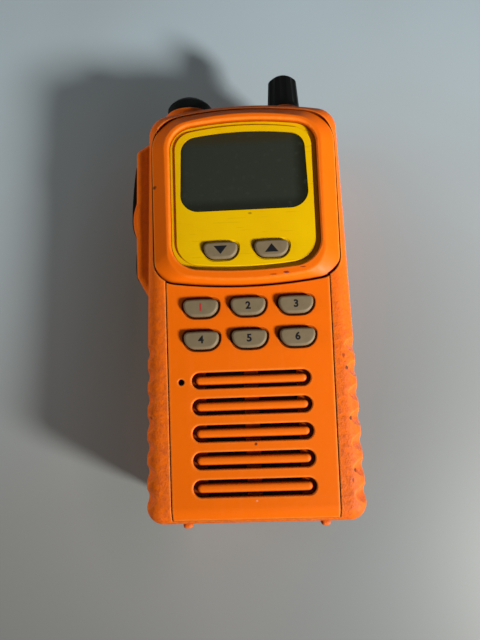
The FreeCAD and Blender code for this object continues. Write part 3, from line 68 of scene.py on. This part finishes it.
# ---- node trees -----------------------------------------------------------------------------------
# A Mix node's number, vector and colour sockets share their names, so its colour sockets go by their places.
MIX_FACTOR, MIX_A, MIX_B, MIX_RESULT = 0, 6, 7, 2
BEVEL_SAMPLES = 6
OCCLUSION_SAMPLES = 8


class Nodes:
    """Short calls that add nodes to a node tree."""

    def __init__(self, tree):
        self.tree = tree

    def set(self, node, socket, value):
        """Gives an input a number or a colour, or links it to another node's output."""
        target = node.inputs[socket]
        if isinstance(value, bpy.types.NodeSocket):
            self.tree.links.new(value, target)
        elif target.type == "RGBA":
            target.default_value = (*value, 1)
        else:
            target.default_value = value

    def node(self, kind, settings=None, **inputs):
        """A new node with these settings and inputs; an underscore in an input's name stands for a space."""
        made = self.tree.nodes.new(kind)
        for name, value in (settings or {}).items():
            setattr(made, name, value)
        for name, value in inputs.items():
            self.set(made, name.replace("_", " "), value)
        return made

    def fill(self, made, *values):
        """Sets a node's first inputs in their order."""
        for place, value in enumerate(values):
            self.set(made, place, value)
        return made.outputs

    def combine(self, operation, a, b):
        return self.fill(self.node("ShaderNodeMath", {"operation": operation}), a, b)[0]

    def times(self, a, b):
        return self.combine("MULTIPLY", a, b)

    def vector(self, operation, a, b):
        outputs = self.fill(self.node("ShaderNodeVectorMath", {"operation": operation}), a, b)
        return outputs["Value" if operation in ("DISTANCE", "DOT_PRODUCT") else "Vector"]

    def split(self, vector):
        """A vector's X, Y and Z."""
        return self.node("ShaderNodeSeparateXYZ", Vector=vector).outputs

    def ramp(self, value, low, high, out_low=0.0, out_high=1.0):
        """out_low up to low, out_high from high on, and a straight rise or fall between them."""
        made = self.node("ShaderNodeMapRange", {"clamp": True})
        return self.fill(made, value, low, high, out_low, out_high)[0]

    def mix(self, factor, a, b):
        """Colour a where the factor is 0, colour b where it is 1."""
        made = self.node("ShaderNodeMix", {"data_type": "RGBA"})
        for socket, value in ((MIX_FACTOR, factor), (MIX_A, a), (MIX_B, b)):
            self.set(made, socket, value)
        return made.outputs[MIX_RESULT]

    def mix_shader(self, factor, a, b):
        return self.fill(self.node("ShaderNodeMixShader"), factor, a, b)[0]


class Shader(Nodes):
    """A node material with one Principled shader and the patterns that feed it, in millimetres."""

    def __init__(self, name, colour, roughness, **sockets):
        self.material = bpy.data.materials.new(name)
        self.material.use_nodes = True
        super().__init__(self.material.node_tree)
        self.shader = self.tree.nodes["Principled BSDF"]
        for socket, value in {"Base_Color": colour, "Roughness": roughness, **sockets}.items():
            self.set(self.shader, socket.replace("_", " "), value)
        self.height = None
        self.edge = None
        metres = self.node("ShaderNodeTexCoord").outputs["Object"]
        scaled = self.node("ShaderNodeVectorMath", {"operation": "SCALE"}, Vector=metres, Scale=1 / MM)
        self.place = scaled.outputs["Vector"]

    # -- patterns, from 0 to 1 --
    def noise(self, scale, detail, roughness=0.5, stretch=None):
        """Noise of scale cycles per millimetre, drawn out along an axis whose stretch is under 1."""
        place = self.place if stretch is None else self.vector("MULTIPLY", self.place, stretch)
        made = self.node("ShaderNodeTexNoise", Vector=place, Scale=scale, Detail=detail, Roughness=roughness)
        return made.outputs["Fac"]

    def patches(self, scale, detail, low, high, out_low=0.0, out_high=1.0, **noise):
        """Noise with more contrast: out_low where it is under low, out_high where it is over high."""
        return self.ramp(self.noise(scale, detail, **noise), low, high, out_low, out_high)

    def away(self, x, z, scale_x=1.0, scale_z=1.0):
        """The distance from x and z to the point seen from the front, once that is scaled."""
        flat = self.vector("MULTIPLY", self.place, (scale_x, 0, scale_z))
        return self.vector("DISTANCE", flat, (x, 0, z))

    def rounded(self, radius):
        """The surface's direction if its edges were rounded."""
        made = self.node("ShaderNodeBevel", {"samples": BEVEL_SAMPLES}, Radius=radius * MM)
        return made.outputs["Normal"]

    def openness(self, reach):
        """1 on open surface, and less the more the surface is shut in within its reach."""
        made = self.node("ShaderNodeAmbientOcclusion", {"samples": OCCLUSION_SAMPLES}, Distance=reach * MM)
        return made.outputs["AO"]

    def crevices(self, reach):
        """1 in narrow grooves and corners, 0 on open surface."""
        return self.ramp(self.openness(reach), 0.35, 0.9, 1.0, 0.0)

    def crests(self, reach):
        """1 on edges and ridges, 0 on flat surface and in grooves."""
        plain_normal = self.node("ShaderNodeNewGeometry").outputs["Normal"]
        flatness = self.vector("DOT_PRODUCT", self.rounded(reach), plain_normal)
        bend = self.ramp(flatness, 0.93, 0.998, 1.0, 0.0)
        outside = self.ramp(self.openness(reach * 1.5), 0.75, 0.95)
        return self.times(bend, outside)

    # -- what the patterns do to the surface --
    def tint(self, where, colour, amount=1.0):
        """Mixes a colour into the base colour, by this amount where the pattern is 1."""
        target = self.shader.inputs["Base Color"]
        so_far = target.links[0].from_socket if target.is_linked else tuple(target.default_value)[:3]
        factor = where if amount == 1.0 else self.times(where, amount)
        self.set(self.shader, "Base Color", self.mix(factor, so_far, colour))

    def add_mark(self, mark, amount):
        """Tints a small spot with a ragged edge, seen from the front and drawn out sideways into a smear.

        The noise adds half a radius on average, so the spot is full up to 0.6 of its radius and ends at 1.1.
        """
        away = self.away(mark.x / mark.stretch, mark.z, 1 / mark.stretch)
        ragged = self.combine("ADD", away, self.times(self.noise(1.6, 3), mark.radius))
        self.tint(self.ramp(ragged, mark.radius * 1.1, mark.radius * 1.6, 1.0, 0.0), mark.colour, amount)

    def roughen(self, value):
        self.set(self.shader, "Roughness", value)

    def add_height(self, value, depth):
        """Adds to the bump's height, by depth in millimetres for a value of 1."""
        part = self.times(value, depth)
        self.height = part if self.height is None else self.combine("ADD", self.height, part)

    def soften(self, radius):
        """Shades the edges as if they were rounded."""
        self.edge = self.rounded(radius)

    def finish(self):
        """Puts the bump on the shader and gives the material."""
        normal = self.edge
        if self.height is not None:
            bump = self.node("ShaderNodeBump", Distance=MM, Height=self.height)
            if self.edge is not None:
                self.set(bump, "Normal", self.edge)
            normal = bump.outputs["Normal"]
        if normal is not None:
            self.set(self.shader, "Normal", normal)
        return self.material


# ---- colours and marks ----------------------------------------------------------------------------
def srgb(red, green, blue):
    """A colour written as 0 to 255 display values, as linear light."""
    shares = (red / 255, green / 255, blue / 255)
    return tuple(((c + 0.055) / 1.055) ** 2.4 if c > 10 / 255 else c / 12.92 for c in shares)


def changed(colour, factor, lift=0.0):
    """A colour made darker or lighter."""
    return tuple(min(1, c * factor + lift) for c in colour)


ORANGE = srgb(240, 107, 3)
# the tone of the painted shade and dirt in grooves and corners
MAROON = srgb(72, 8, 1)
# the tone of worn edges and painted highlights
PALE_ORANGE = srgb(255, 156, 66)
SCUFFED = srgb(190, 82, 34)
DARK = srgb(62, 30, 18)
BROWN = srgb(150, 56, 14)
INK = srgb(70, 40, 60)
PINK = srgb(245, 150, 110)

# Nicks, ink and dirt on the front, given one by one, and how far each is drawn out sideways.
Mark = namedtuple("Mark", "colour x z radius stretch")
PANEL_MARKS = (Mark(DARK, 3.6, 24.35, 0.45, 1), Mark(PINK, 3.3, 8.4, 0.32, 1))
BEZEL_MARKS = (Mark(DARK, -26.3, 106.5, 0.6, 1.2), Mark(DARK, -20.6, 118.0, 0.25, 1),
               Mark(INK, 15.0, 75.6, 0.42, 2.4),
               Mark(BROWN, 11.0, 75.1, 0.22, 6), Mark(BROWN, 20.2, 77.1, 0.25, 4))
CASE_MARKS = (Mark(DARK, 31.8, 45.8, 0.7, 1), Mark(DARK, 31.9, 31.0, 0.75, 0.8),
              Mark(DARK, 32.2, 16.1, 0.6, 1), Mark(BROWN, 31.2, 13.5, 0.8, 0.5),
              Mark(BROWN, 31.0, 49.5, 0.8, 0.6), Mark(BROWN, -27.9, 32.8, 0.6, 1))
INSERT_MARK = Mark(srgb(120, 80, 0), 4.5, 95.8, 0.4, 1.8)

# Hands have roughened the case most below the first height and less above the second.
SCUFFS_LOW, SCUFFS_HIGH = 55, 85

# The window's darker band at each edge of the display: how far outside the edge it starts and is full. The
# top band is a painted reflection; the other three are a darker rim around the display.
EdgeBand = namedtuple("EdgeBand", "axis side start full amount colour")
EDGE_BANDS = (EdgeBand("Z", -1, -2.2, 0.4, 0.8, srgb(26, 28, 20)),
           EdgeBand("Z", 1, -3.0, -0.6, 0.9, srgb(47, 41, 22)),
           EdgeBand("X", -1, -0.6, 1.0, 0.7, srgb(34, 34, 20)),
           EdgeBand("X", 1, -3.2, 0.2, 0.95, srgb(23, 23, 10)))


# ---- materials ------------------------------------------------------------------------------------
def orange_plastic(name, marks, grain, roughness, shade_and_grime, edge, gloss, streaks=0.25, wear_and_highlight=0.5, scuffs=0.0):
    """Moulded plastic with a fine grain, faint blotches, rubbed streaks and marks.

    grain is in cycles per millimetre and edge is its edges' radius. From 0 to 1, shade_and_grime is the
    painted shade and dirt in its corners, streaks how far it is rubbed, wear_and_highlight how pale its
    edges are from wear and a painted highlight, and scuffs how rough hands made it.
    """
    s = Shader(name, ORANGE, roughness, Specular_IOR_Level=gloss)
    s.tint(s.patches(0.06, 3, 0.3, 0.7), changed(ORANGE, 0.72), amount=0.10)
    rubbed = s.patches(0.8, 4, 0.56, 0.72, stretch=(1, 1, 0.07))
    s.tint(rubbed, changed(ORANGE, 1.12, lift=0.03), amount=streaks * 0.3)
    if scuffs:
        lower = s.ramp(s.split(s.place)["Z"], SCUFFS_LOW, SCUFFS_HIGH, scuffs, scuffs * 0.4)
        handled = s.times(lower, s.patches(0.7, 5, 0.40, 0.66, roughness=0.7))
        s.tint(handled, SCUFFED)
        s.add_height(s.times(s.noise(1.1, 4, roughness=0.65), handled), depth=0.22)
    # Painted shade, with some dirt: grooves and corners turn maroon where shade falls.
    shade_and_dirt = s.times(s.crevices(2.2), s.patches(0.35, 4, 0.2, 0.5, 0.8, 1.0))
    s.tint(shade_and_dirt, MAROON, amount=shade_and_grime)
    # Painted highlight, with some wear: edges and ridges turn pale orange as if light caught them.
    worn_and_highlit = s.times(s.crests(1.2), s.patches(0.5, 3, 0.3, 0.7, 0.4, 1.0))
    s.tint(worn_and_highlit, PALE_ORANGE, amount=wear_and_highlight)
    for mark in marks:
        s.add_mark(mark, amount=0.85)
    s.roughen(s.patches(0.5, 4, 0.3, 0.7, roughness - 0.06, roughness + 0.08))
    s.add_height(s.noise(grain, 2), depth=0.030)
    s.add_height(s.noise(0.25, 2), depth=0.05)
    s.add_height(rubbed, depth=-0.004)
    s.soften(edge)
    return s.finish()


def plain(name, colour, roughness, brushed=None, bump=0.01, scale=2.0, **sockets):
    """A plain surface with fine unevenness; brushed is the stretch of its brushing."""
    s = Shader(name, colour, roughness, **sockets)
    s.tint(s.patches(0.3, 3, 0.3, 0.75, 0.0, 0.25), changed(colour, 0.75))
    s.add_height(s.noise(scale, 3, stretch=brushed), bump)
    smooth, rough = roughness * 0.85, min(1.0, roughness * 1.2)
    s.roughen(s.patches(0.9, 3, 0.3, 0.7, smooth, rough, stretch=brushed))
    return s.finish()


def metal(name, colour, roughness, **finish):
    return plain(name, colour, roughness, Metallic=1.0, **finish)


def black_moulding(name, colour, roughness):
    """Dull black rubber or plastic with a fine grain and greyish patches."""
    s = Shader(name, colour, roughness, Specular_IOR_Level=0.09)
    s.tint(s.patches(0.5, 4, 0.45, 0.75, 0.0, 0.4), srgb(10, 11, 11))
    s.add_height(s.noise(4.0, 2), depth=0.015)
    s.add_height(s.noise(0.6, 3), depth=0.02)
    s.roughen(s.patches(1.2, 3, 0.3, 0.7, roughness - 0.08, roughness + 0.1))
    return s.finish()


def smoked_window():
    """A greenish grey field over the display inside darker olive bands along its edges, the top one a
    painted reflection, with faint dust.
    """
    s = Shader("smoked_window", srgb(42, 46, 38), 0.3, Specular_IOR_Level=0.12)
    low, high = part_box("display_lens")
    middle = (low + high) / 2 / MM
    low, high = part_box("lcd_cell")
    half = dict(zip("XYZ", (high - low) / 2 / MM))
    place = s.split(s.vector("SUBTRACT", s.place, tuple(middle)))
    # The top band is a painted reflection; the other bands darken the window's rim.
    for band in EDGE_BANDS:
        edge = band.side * half[band.axis]
        start, full = edge + band.side * band.start, edge + band.side * band.full
        s.tint(s.ramp(place[band.axis], start, full), band.colour, band.amount)
    s.tint(s.patches(0.55, 3, 0.60, 0.72, 0.0, 0.35), srgb(58, 60, 52))
    s.roughen(s.patches(0.4, 5, 0.35, 0.75, 0.26, 0.38))
    return s.finish()


def yellow_insert():
    """Glossy yellow plastic with sideways scratches, painted shade and dirt in its corners and one dark
    nick.
    """
    s = Shader("yellow_insert", srgb(230, 184, 0), 0.38, Specular_IOR_Level=0.15)
    s.tint(s.patches(0.08, 3, 0.35, 0.7, 0.0, 0.3), srgb(218, 160, 0))
    scratch = s.patches(2.2, 5, 0.63, 0.70, stretch=(0.05, 1, 1))
    s.tint(scratch, srgb(170, 120, 0), amount=0.35)
    # Painted shade, with some dirt: the corners and the step along the insert's edge turn brown.
    shade_and_dirt = s.times(s.crevices(1.2), s.patches(0.4, 3, 0.3, 0.6, 0.3, 1.0))
    s.tint(shade_and_dirt, srgb(128, 78, 0), amount=0.45)
    s.add_mark(INSERT_MARK, amount=0.6)
    s.add_height(s.noise(0.5, 3), depth=0.02)
    s.add_height(s.noise(6.0, 2), depth=0.004)
    s.add_height(scratch, depth=-0.006)
    s.roughen(s.patches(0.6, 4, 0.3, 0.7, 0.28, 0.46))
    return s.finish()


def key_grey():
    """Greyish tan keys with painted shade where they meet the panel."""
    s = Shader("key_grey", srgb(123, 108, 84), 0.5, Specular_IOR_Level=0.2)
    s.tint(s.patches(0.5, 3, 0.35, 0.7, 0.0, 0.3), srgb(104, 90, 68))
    # Painted shade: each key darkens at its foot and in its corners, where shade falls.
    s.tint(s.crevices(0.9), srgb(50, 38, 26), amount=0.7)
    s.add_height(s.noise(5.0, 2), depth=0.006)
    s.add_height(s.noise(0.7, 2), depth=0.03)
    return s.finish()


def circuit_board():
    """Green board with a pattern of raised tracks."""
    s = Shader("circuit_board", srgb(20, 74, 44), 0.35, Specular_IOR_Level=0.5)
    flat = s.vector("MULTIPLY", s.place, (1, 0.01, 1))
    tracks = s.ramp(s.node("ShaderNodeTexBrick", Vector=flat, Scale=0.25).outputs["Fac"], 0.4, 0.6)
    s.tint(tracks, srgb(60, 120, 66), amount=0.5)
    s.add_height(tracks, depth=0.02)
    return s.finish()


materials = {
    "orange_case": orange_plastic("orange_case", CASE_MARKS, grain=2.6, roughness=0.52, shade_and_grime=0.8, edge=0.7,
                                  gloss=0.22, streaks=0.5, scuffs=0.7),
    "orange_panel": orange_plastic("orange_panel", PANEL_MARKS, grain=5.0, roughness=0.46, shade_and_grime=1.0,
                                   edge=0.7, gloss=0.15),
    "orange_bezel": orange_plastic("orange_bezel", BEZEL_MARKS, grain=5.0, roughness=0.48, shade_and_grime=0.85,
                                   edge=0.5, gloss=0.15, wear_and_highlight=0.95),
    "yellow_insert": yellow_insert(),
    "smoked_window": smoked_window(),
    "key_grey": key_grey(),
    "black_rubber": black_moulding("black_rubber", srgb(5, 6, 6), 0.6),
    "black_plastic": black_moulding("black_plastic", srgb(5, 5, 5), 0.45),
    "lcd_glass": plain("lcd_glass", srgb(90, 98, 82), 0.2),
    "white_plastic": plain("white_plastic", srgb(225, 225, 218), 0.5),
    "circuit_board": circuit_board(),
    "brass": metal("brass", srgb(190, 155, 90), 0.3, brushed=(1, 1, 8)),
    "steel": metal("steel", srgb(170, 170, 175), 0.3, brushed=(1, 8, 1)),
    "die_cast": metal("die_cast", srgb(175, 177, 180), 0.45, bump=0.03),
    "tin_plate": metal("tin_plate", srgb(195, 196, 198), 0.28, brushed=(8, 1, 1)),
    "magnet_steel": metal("magnet_steel", srgb(110, 110, 114), 0.4),
    "paper_cone": plain("paper_cone", srgb(34, 33, 32), 0.9, bump=0.06, Sheen_Weight=0.2),
    "mesh_cloth": plain("mesh_cloth", srgb(30, 15, 12), 0.95, bump=0.08, scale=4.0, Sheen_Weight=0.3),
    "cell_wrap": plain("cell_wrap", srgb(52, 84, 140), 0.35),
    "gold_contact": metal("gold_contact", srgb(214, 172, 84), 0.25, brushed=(1, 1, 6)),
}
legend_black = plain("legend", srgb(14, 14, 20), 0.6, bump=0.003, Specular_IOR_Level=0.2)
legend_red = plain("legend_red", srgb(176, 38, 30), 0.6, bump=0.003)


# ---- CAD pieces -----------------------------------------------------------------------------------
SHARP_ANGLE = math.radians(28)
WELD_REACH = 0.002 * MM
LARGE_FACES_LEAD = 100  # a weighted normal's largest weight, so that small facets don't streak a flat wall


def shade(piece):
    """Joins the facets' corners and shades across them, with sharp edges kept."""
    piece.data.polygons.foreach_set("use_smooth", [True] * len(piece.data.polygons))
    weld = piece.modifiers.new("weld", "WELD")
    weld.merge_threshold = WELD_REACH
    split = piece.modifiers.new("split", "EDGE_SPLIT")
    split.split_angle = SHARP_ANGLE
    even = piece.modifiers.new("even", "WEIGHTED_NORMAL")
    even.mode = "FACE_AREA"
    even.weight = LARGE_FACES_LEAD
    even.keep_sharp = True


slots = {part["node"]: part["material_slot"] for part in frame["record"]["subparts"]}
slots["microphone"] = "mesh_cloth"  # a black felt over its sound hole
for name, piece in nodes.items():
    piece.data.materials.clear()
    piece.data.materials.append(materials[slots[name]])
    shade(piece)


# ---- new objects ----------------------------------------------------------------------------------
def add_object(name, data):
    made = bpy.data.objects.new(name, data)
    bpy.context.scene.collection.objects.link(made)
    return made


def add_mesh(name, material, build):
    """A new mesh object with one material; build fills its bmesh."""
    data = bpy.data.meshes.new(name)
    mesh = bmesh.new()
    build(mesh)
    mesh.to_mesh(data)
    mesh.free()
    data.materials.append(material)
    return add_object(name, data)


# ---- legends --------------------------------------------------------------------------------------
LEGEND_THICKNESS = 0.04 * MM
NUMBER_HEIGHT = 2.2 * MM
NUMBER_SHARE = 0.7            # how tall a number stands where the font's size is 1
NUMBER_SPREAD = 0.1 * MM      # makes its strokes bolder
NUMBER_LIFT = 0.01 * MM       # from the key's face to the middle of the number's thickness
ARROW_HALF_WIDTH = 2.1 * MM
ARROW_HALF_HEIGHT = 1.35 * MM


def print_on(key, piece):
    """Makes a legend a part of its key."""
    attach(piece, key)


def add_number(text, key, material):
    """A printed number on a key's face."""
    curve = bpy.data.curves.new("text", "FONT")
    curve.body = text
    curve.size = NUMBER_HEIGHT / NUMBER_SHARE
    curve.align_x = "CENTER"
    curve.align_y = "CENTER"
    curve.extrude = LEGEND_THICKNESS / 2
    curve.offset = NUMBER_SPREAD
    written = add_object("text", curve)
    bpy.context.view_layer.update()
    data = bpy.data.meshes.new_from_object(written)
    bpy.data.objects.remove(written)
    low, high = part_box(key)
    middle = (low + high) / 2
    place = Matrix.Translation((middle.x, low.y - NUMBER_LIFT, middle.z))
    data.transform(place @ Matrix.Rotation(math.pi / 2, 4, "X"))
    data.materials.clear()
    data.materials.append(material)
    print_on(key, add_object("legend_" + key, data))


def add_arrow(key, direction):
    """A printed triangle on an arrow key, which points up for a direction of 1 and down for -1."""
    low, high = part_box(key)
    middle = (low + high) / 2
    tip = ARROW_HALF_HEIGHT * direction

    def build(mesh):
        corners = ((-ARROW_HALF_WIDTH, -tip), (ARROW_HALF_WIDTH, -tip), (0, tip))
        front, back = ([mesh.verts.new((middle.x + x, low.y + y, middle.z + z)) for x, z in corners]
                       for y in (-LEGEND_THICKNESS / 2, LEGEND_THICKNESS / 2))
        mesh.faces.new(front)
        mesh.faces.new(back[::-1])
        for i in range(3):
            j = (i + 1) % 3
            mesh.faces.new((front[j], front[i], back[i], back[j]))
        bmesh.ops.recalc_face_normals(mesh, faces=mesh.faces)

    print_on(key, add_mesh("legend_" + key, legend_black, build))


for number in range(1, 7):
    add_number(str(number), "key_%d" % number, legend_red if number == 1 else legend_black)
add_arrow("key_down", -1)
add_arrow("key_up", 1)


# ---- floor ----------------------------------------------------------------------------------------
FLOOR_Y = cad_box[1].y + 0.05 * MM  # a hair behind the battery
FLOOR_REACH = 0.6                   # from its middle to a side, in metres
FADE_X, FADE_Z = 0, 85              # the middle of the part that is seen
FADE_START, FADE_END = 172, 245     # how far from there it fades out

# The tones of the table, as linear light.
TABLE = (0.29, 0.295, 0.285)
TABLE_BLOTCH = (0.30, 0.31, 0.31)
# Painted light: a lighter bluish tone that grows towards the radio's head and a little to its left.
TABLE_PAINTED_LIGHT = (0.42, 0.52, 0.58)
PAINTED_LIGHT_START, PAINTED_LIGHT_FULL = 10, 200       # the painted light comes in between these heights
PAINTED_LIGHT_LEAN = -0.15                    # which fall a little to the left

# Painted shadows on the table, soft pools of a darker tone: their middle once Z is scaled, how far from it
# they are full and end.
ShadowPool = namedtuple("ShadowPool", "x z scale_z full end amount colour")
PAINTED_SHADOWS = (ShadowPool(46, 16, 0.6, 4, 70, 0.85, (0.165, 0.205, 0.215)),
         ShadowPool(-40, 22, 0.3, 4, 32, 0.8, (0.155, 0.20, 0.185)))


def table():
    """A pale table with painted light towards the radio's head and painted shadows beside the radio; it
    fades out far from the radio and is seen from its front only.
    """
    s = Shader("table", TABLE, 0.52, Specular_IOR_Level=0.8)
    place = s.split(s.place)
    # Painted light on the table, growing with height and a little to the left.
    painted_light_height = s.combine("ADD", place["Z"], s.times(place["X"], PAINTED_LIGHT_LEAN))
    s.tint(s.ramp(painted_light_height, PAINTED_LIGHT_START, PAINTED_LIGHT_FULL), TABLE_PAINTED_LIGHT)
    s.tint(s.patches(0.01, 2, 0.3, 0.7, 0.0, 0.3), TABLE_BLOTCH)
    # Painted shadows: darker pools on the table beside the radio.
    for shadow_pool in PAINTED_SHADOWS:
        away = s.away(shadow_pool.x, shadow_pool.z, scale_z=shadow_pool.scale_z)
        s.tint(s.ramp(away, shadow_pool.full, shadow_pool.end, shadow_pool.amount, 0.0), shadow_pool.colour)
    faded = s.ramp(s.away(FADE_X, FADE_Z), FADE_START, FADE_END)
    behind = s.node("ShaderNodeNewGeometry").outputs["Backfacing"]
    clear = s.node("ShaderNodeBsdfTransparent").outputs[0]
    mixed = s.mix_shader(s.combine("MAXIMUM", faded, behind), s.shader.outputs[0], clear)
    s.set(s.tree.nodes["Material Output"], "Surface", mixed)
    return s.material


def add_floor():
    """The table, which casts no shadow and no light back on the radio."""

    def build(mesh):
        corners = ((-1, -1), (1, -1), (1, 1), (-1, 1))
        mesh.faces.new([mesh.verts.new((FLOOR_REACH * x, FLOOR_Y, FLOOR_REACH * z)) for x, z in corners])

    floor = add_mesh("floor", table(), build)
    floor.visible_shadow = False
    floor.visible_diffuse = False
    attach(floor, "battery")  # the battery's back is what lies on the table, also when it is lifted off


# ---- light and camera -----------------------------------------------------------------------------
WORLD_LIGHT = (0.98, 1.0, 0.97)
WORLD_STRENGTH = 0.045
WORLD_SEEN = srgb(168, 172, 172)

CAMERA_PLACE = (5.585, -163.7, 36.0)  # in millimetres
CAMERA_ROLL, CAMERA_YAW, CAMERA_PITCH = (math.radians(angle) for angle in (-2.32, 2.11, -9.94))
SENSOR = 36                           # the picture's longer side on the sensor
LENS = 27.06
NEAREST = 0.01                        # what the camera sees starts this many metres from it


def add_world():
    """A dim even light on the radio, and a plain grey that the camera, gloss and glass see."""
    world = bpy.data.worlds.new("surroundings")
    bpy.context.scene.world = world
    world.use_nodes = True
    n = Nodes(world.node_tree)
    light = n.tree.nodes["Background"]
    n.set(light, "Color", WORLD_LIGHT)
    n.set(light, "Strength", WORLD_STRENGTH)
    seen = n.node("ShaderNodeBackground", Color=WORLD_SEEN)
    path = n.node("ShaderNodeLightPath").outputs
    rays = path["Is Camera Ray"]
    for other in ("Is Glossy Ray", "Is Transmission Ray"):
        rays = n.combine("MAXIMUM", rays, path[other])
    mixed = n.mix_shader(rays, light.outputs[0], seen.outputs[0])
    n.set(n.tree.nodes["World Output"], "Surface", mixed)


def add_camera():
    """A phone's wide camera, close above the lower half of the lying radio and turned a little."""
    turn = (Matrix.Rotation(CAMERA_ROLL, 3, "Z") @ Matrix.Rotation(CAMERA_YAW, 3, "Y")
            @ Matrix.Rotation(CAMERA_PITCH, 3, "X"))
    right, down, forward = (Vector((row[0], row[2], -row[1])) for row in turn)
    camera = add_object("camera", bpy.data.cameras.new("camera"))
    camera.data.sensor_width = SENSOR
    camera.data.lens = LENS
    camera.data.clip_start = NEAREST
    facing = Matrix((right, -down, -forward)).transposed().to_4x4()
    camera.matrix_world = Matrix.Translation(Vector(CAMERA_PLACE) * MM) @ facing
    bpy.context.scene.camera = camera


def add_lamp(name, place, target, size, power, colour=(1, 1, 1), spread=180, glossy=True):
    """A round soft lamp that is aimed at a target; spread is in degrees."""
    data = bpy.data.lights.new(name, "AREA")
    data.shape = "DISK"
    data.size = size
    data.energy = power
    data.color = colour
    data.spread = math.radians(spread)
    lamp = add_object(name, data)
    lamp.location = place
    lamp.rotation_euler = (Vector(target) - Vector(place)).to_track_quat("-Z", "Y").to_euler()
    lamp.visible_camera = False
    lamp.visible_glossy = glossy


add_floor()
add_world()
add_camera()
add_lamp("key_light", place=(0.346, -0.248, -0.175), target=(-0.17, 0.02, 0.45), size=0.09, power=1.58,
         colour=(1.0, 0.99, 0.96), spread=100)
add_lamp("fill_light", place=(-0.43, -0.08, 0.11), target=(0, 0, 0.08), size=0.24, power=0.96,
         colour=(1.0, 0.96, 0.9), glossy=False)
add_lamp("back_light", place=(0.25, 0.60, 0.35), target=(0, 0, 0.07), size=0.60, power=2.6)

scene = bpy.context.scene
scene.view_settings.view_transform = "Standard"
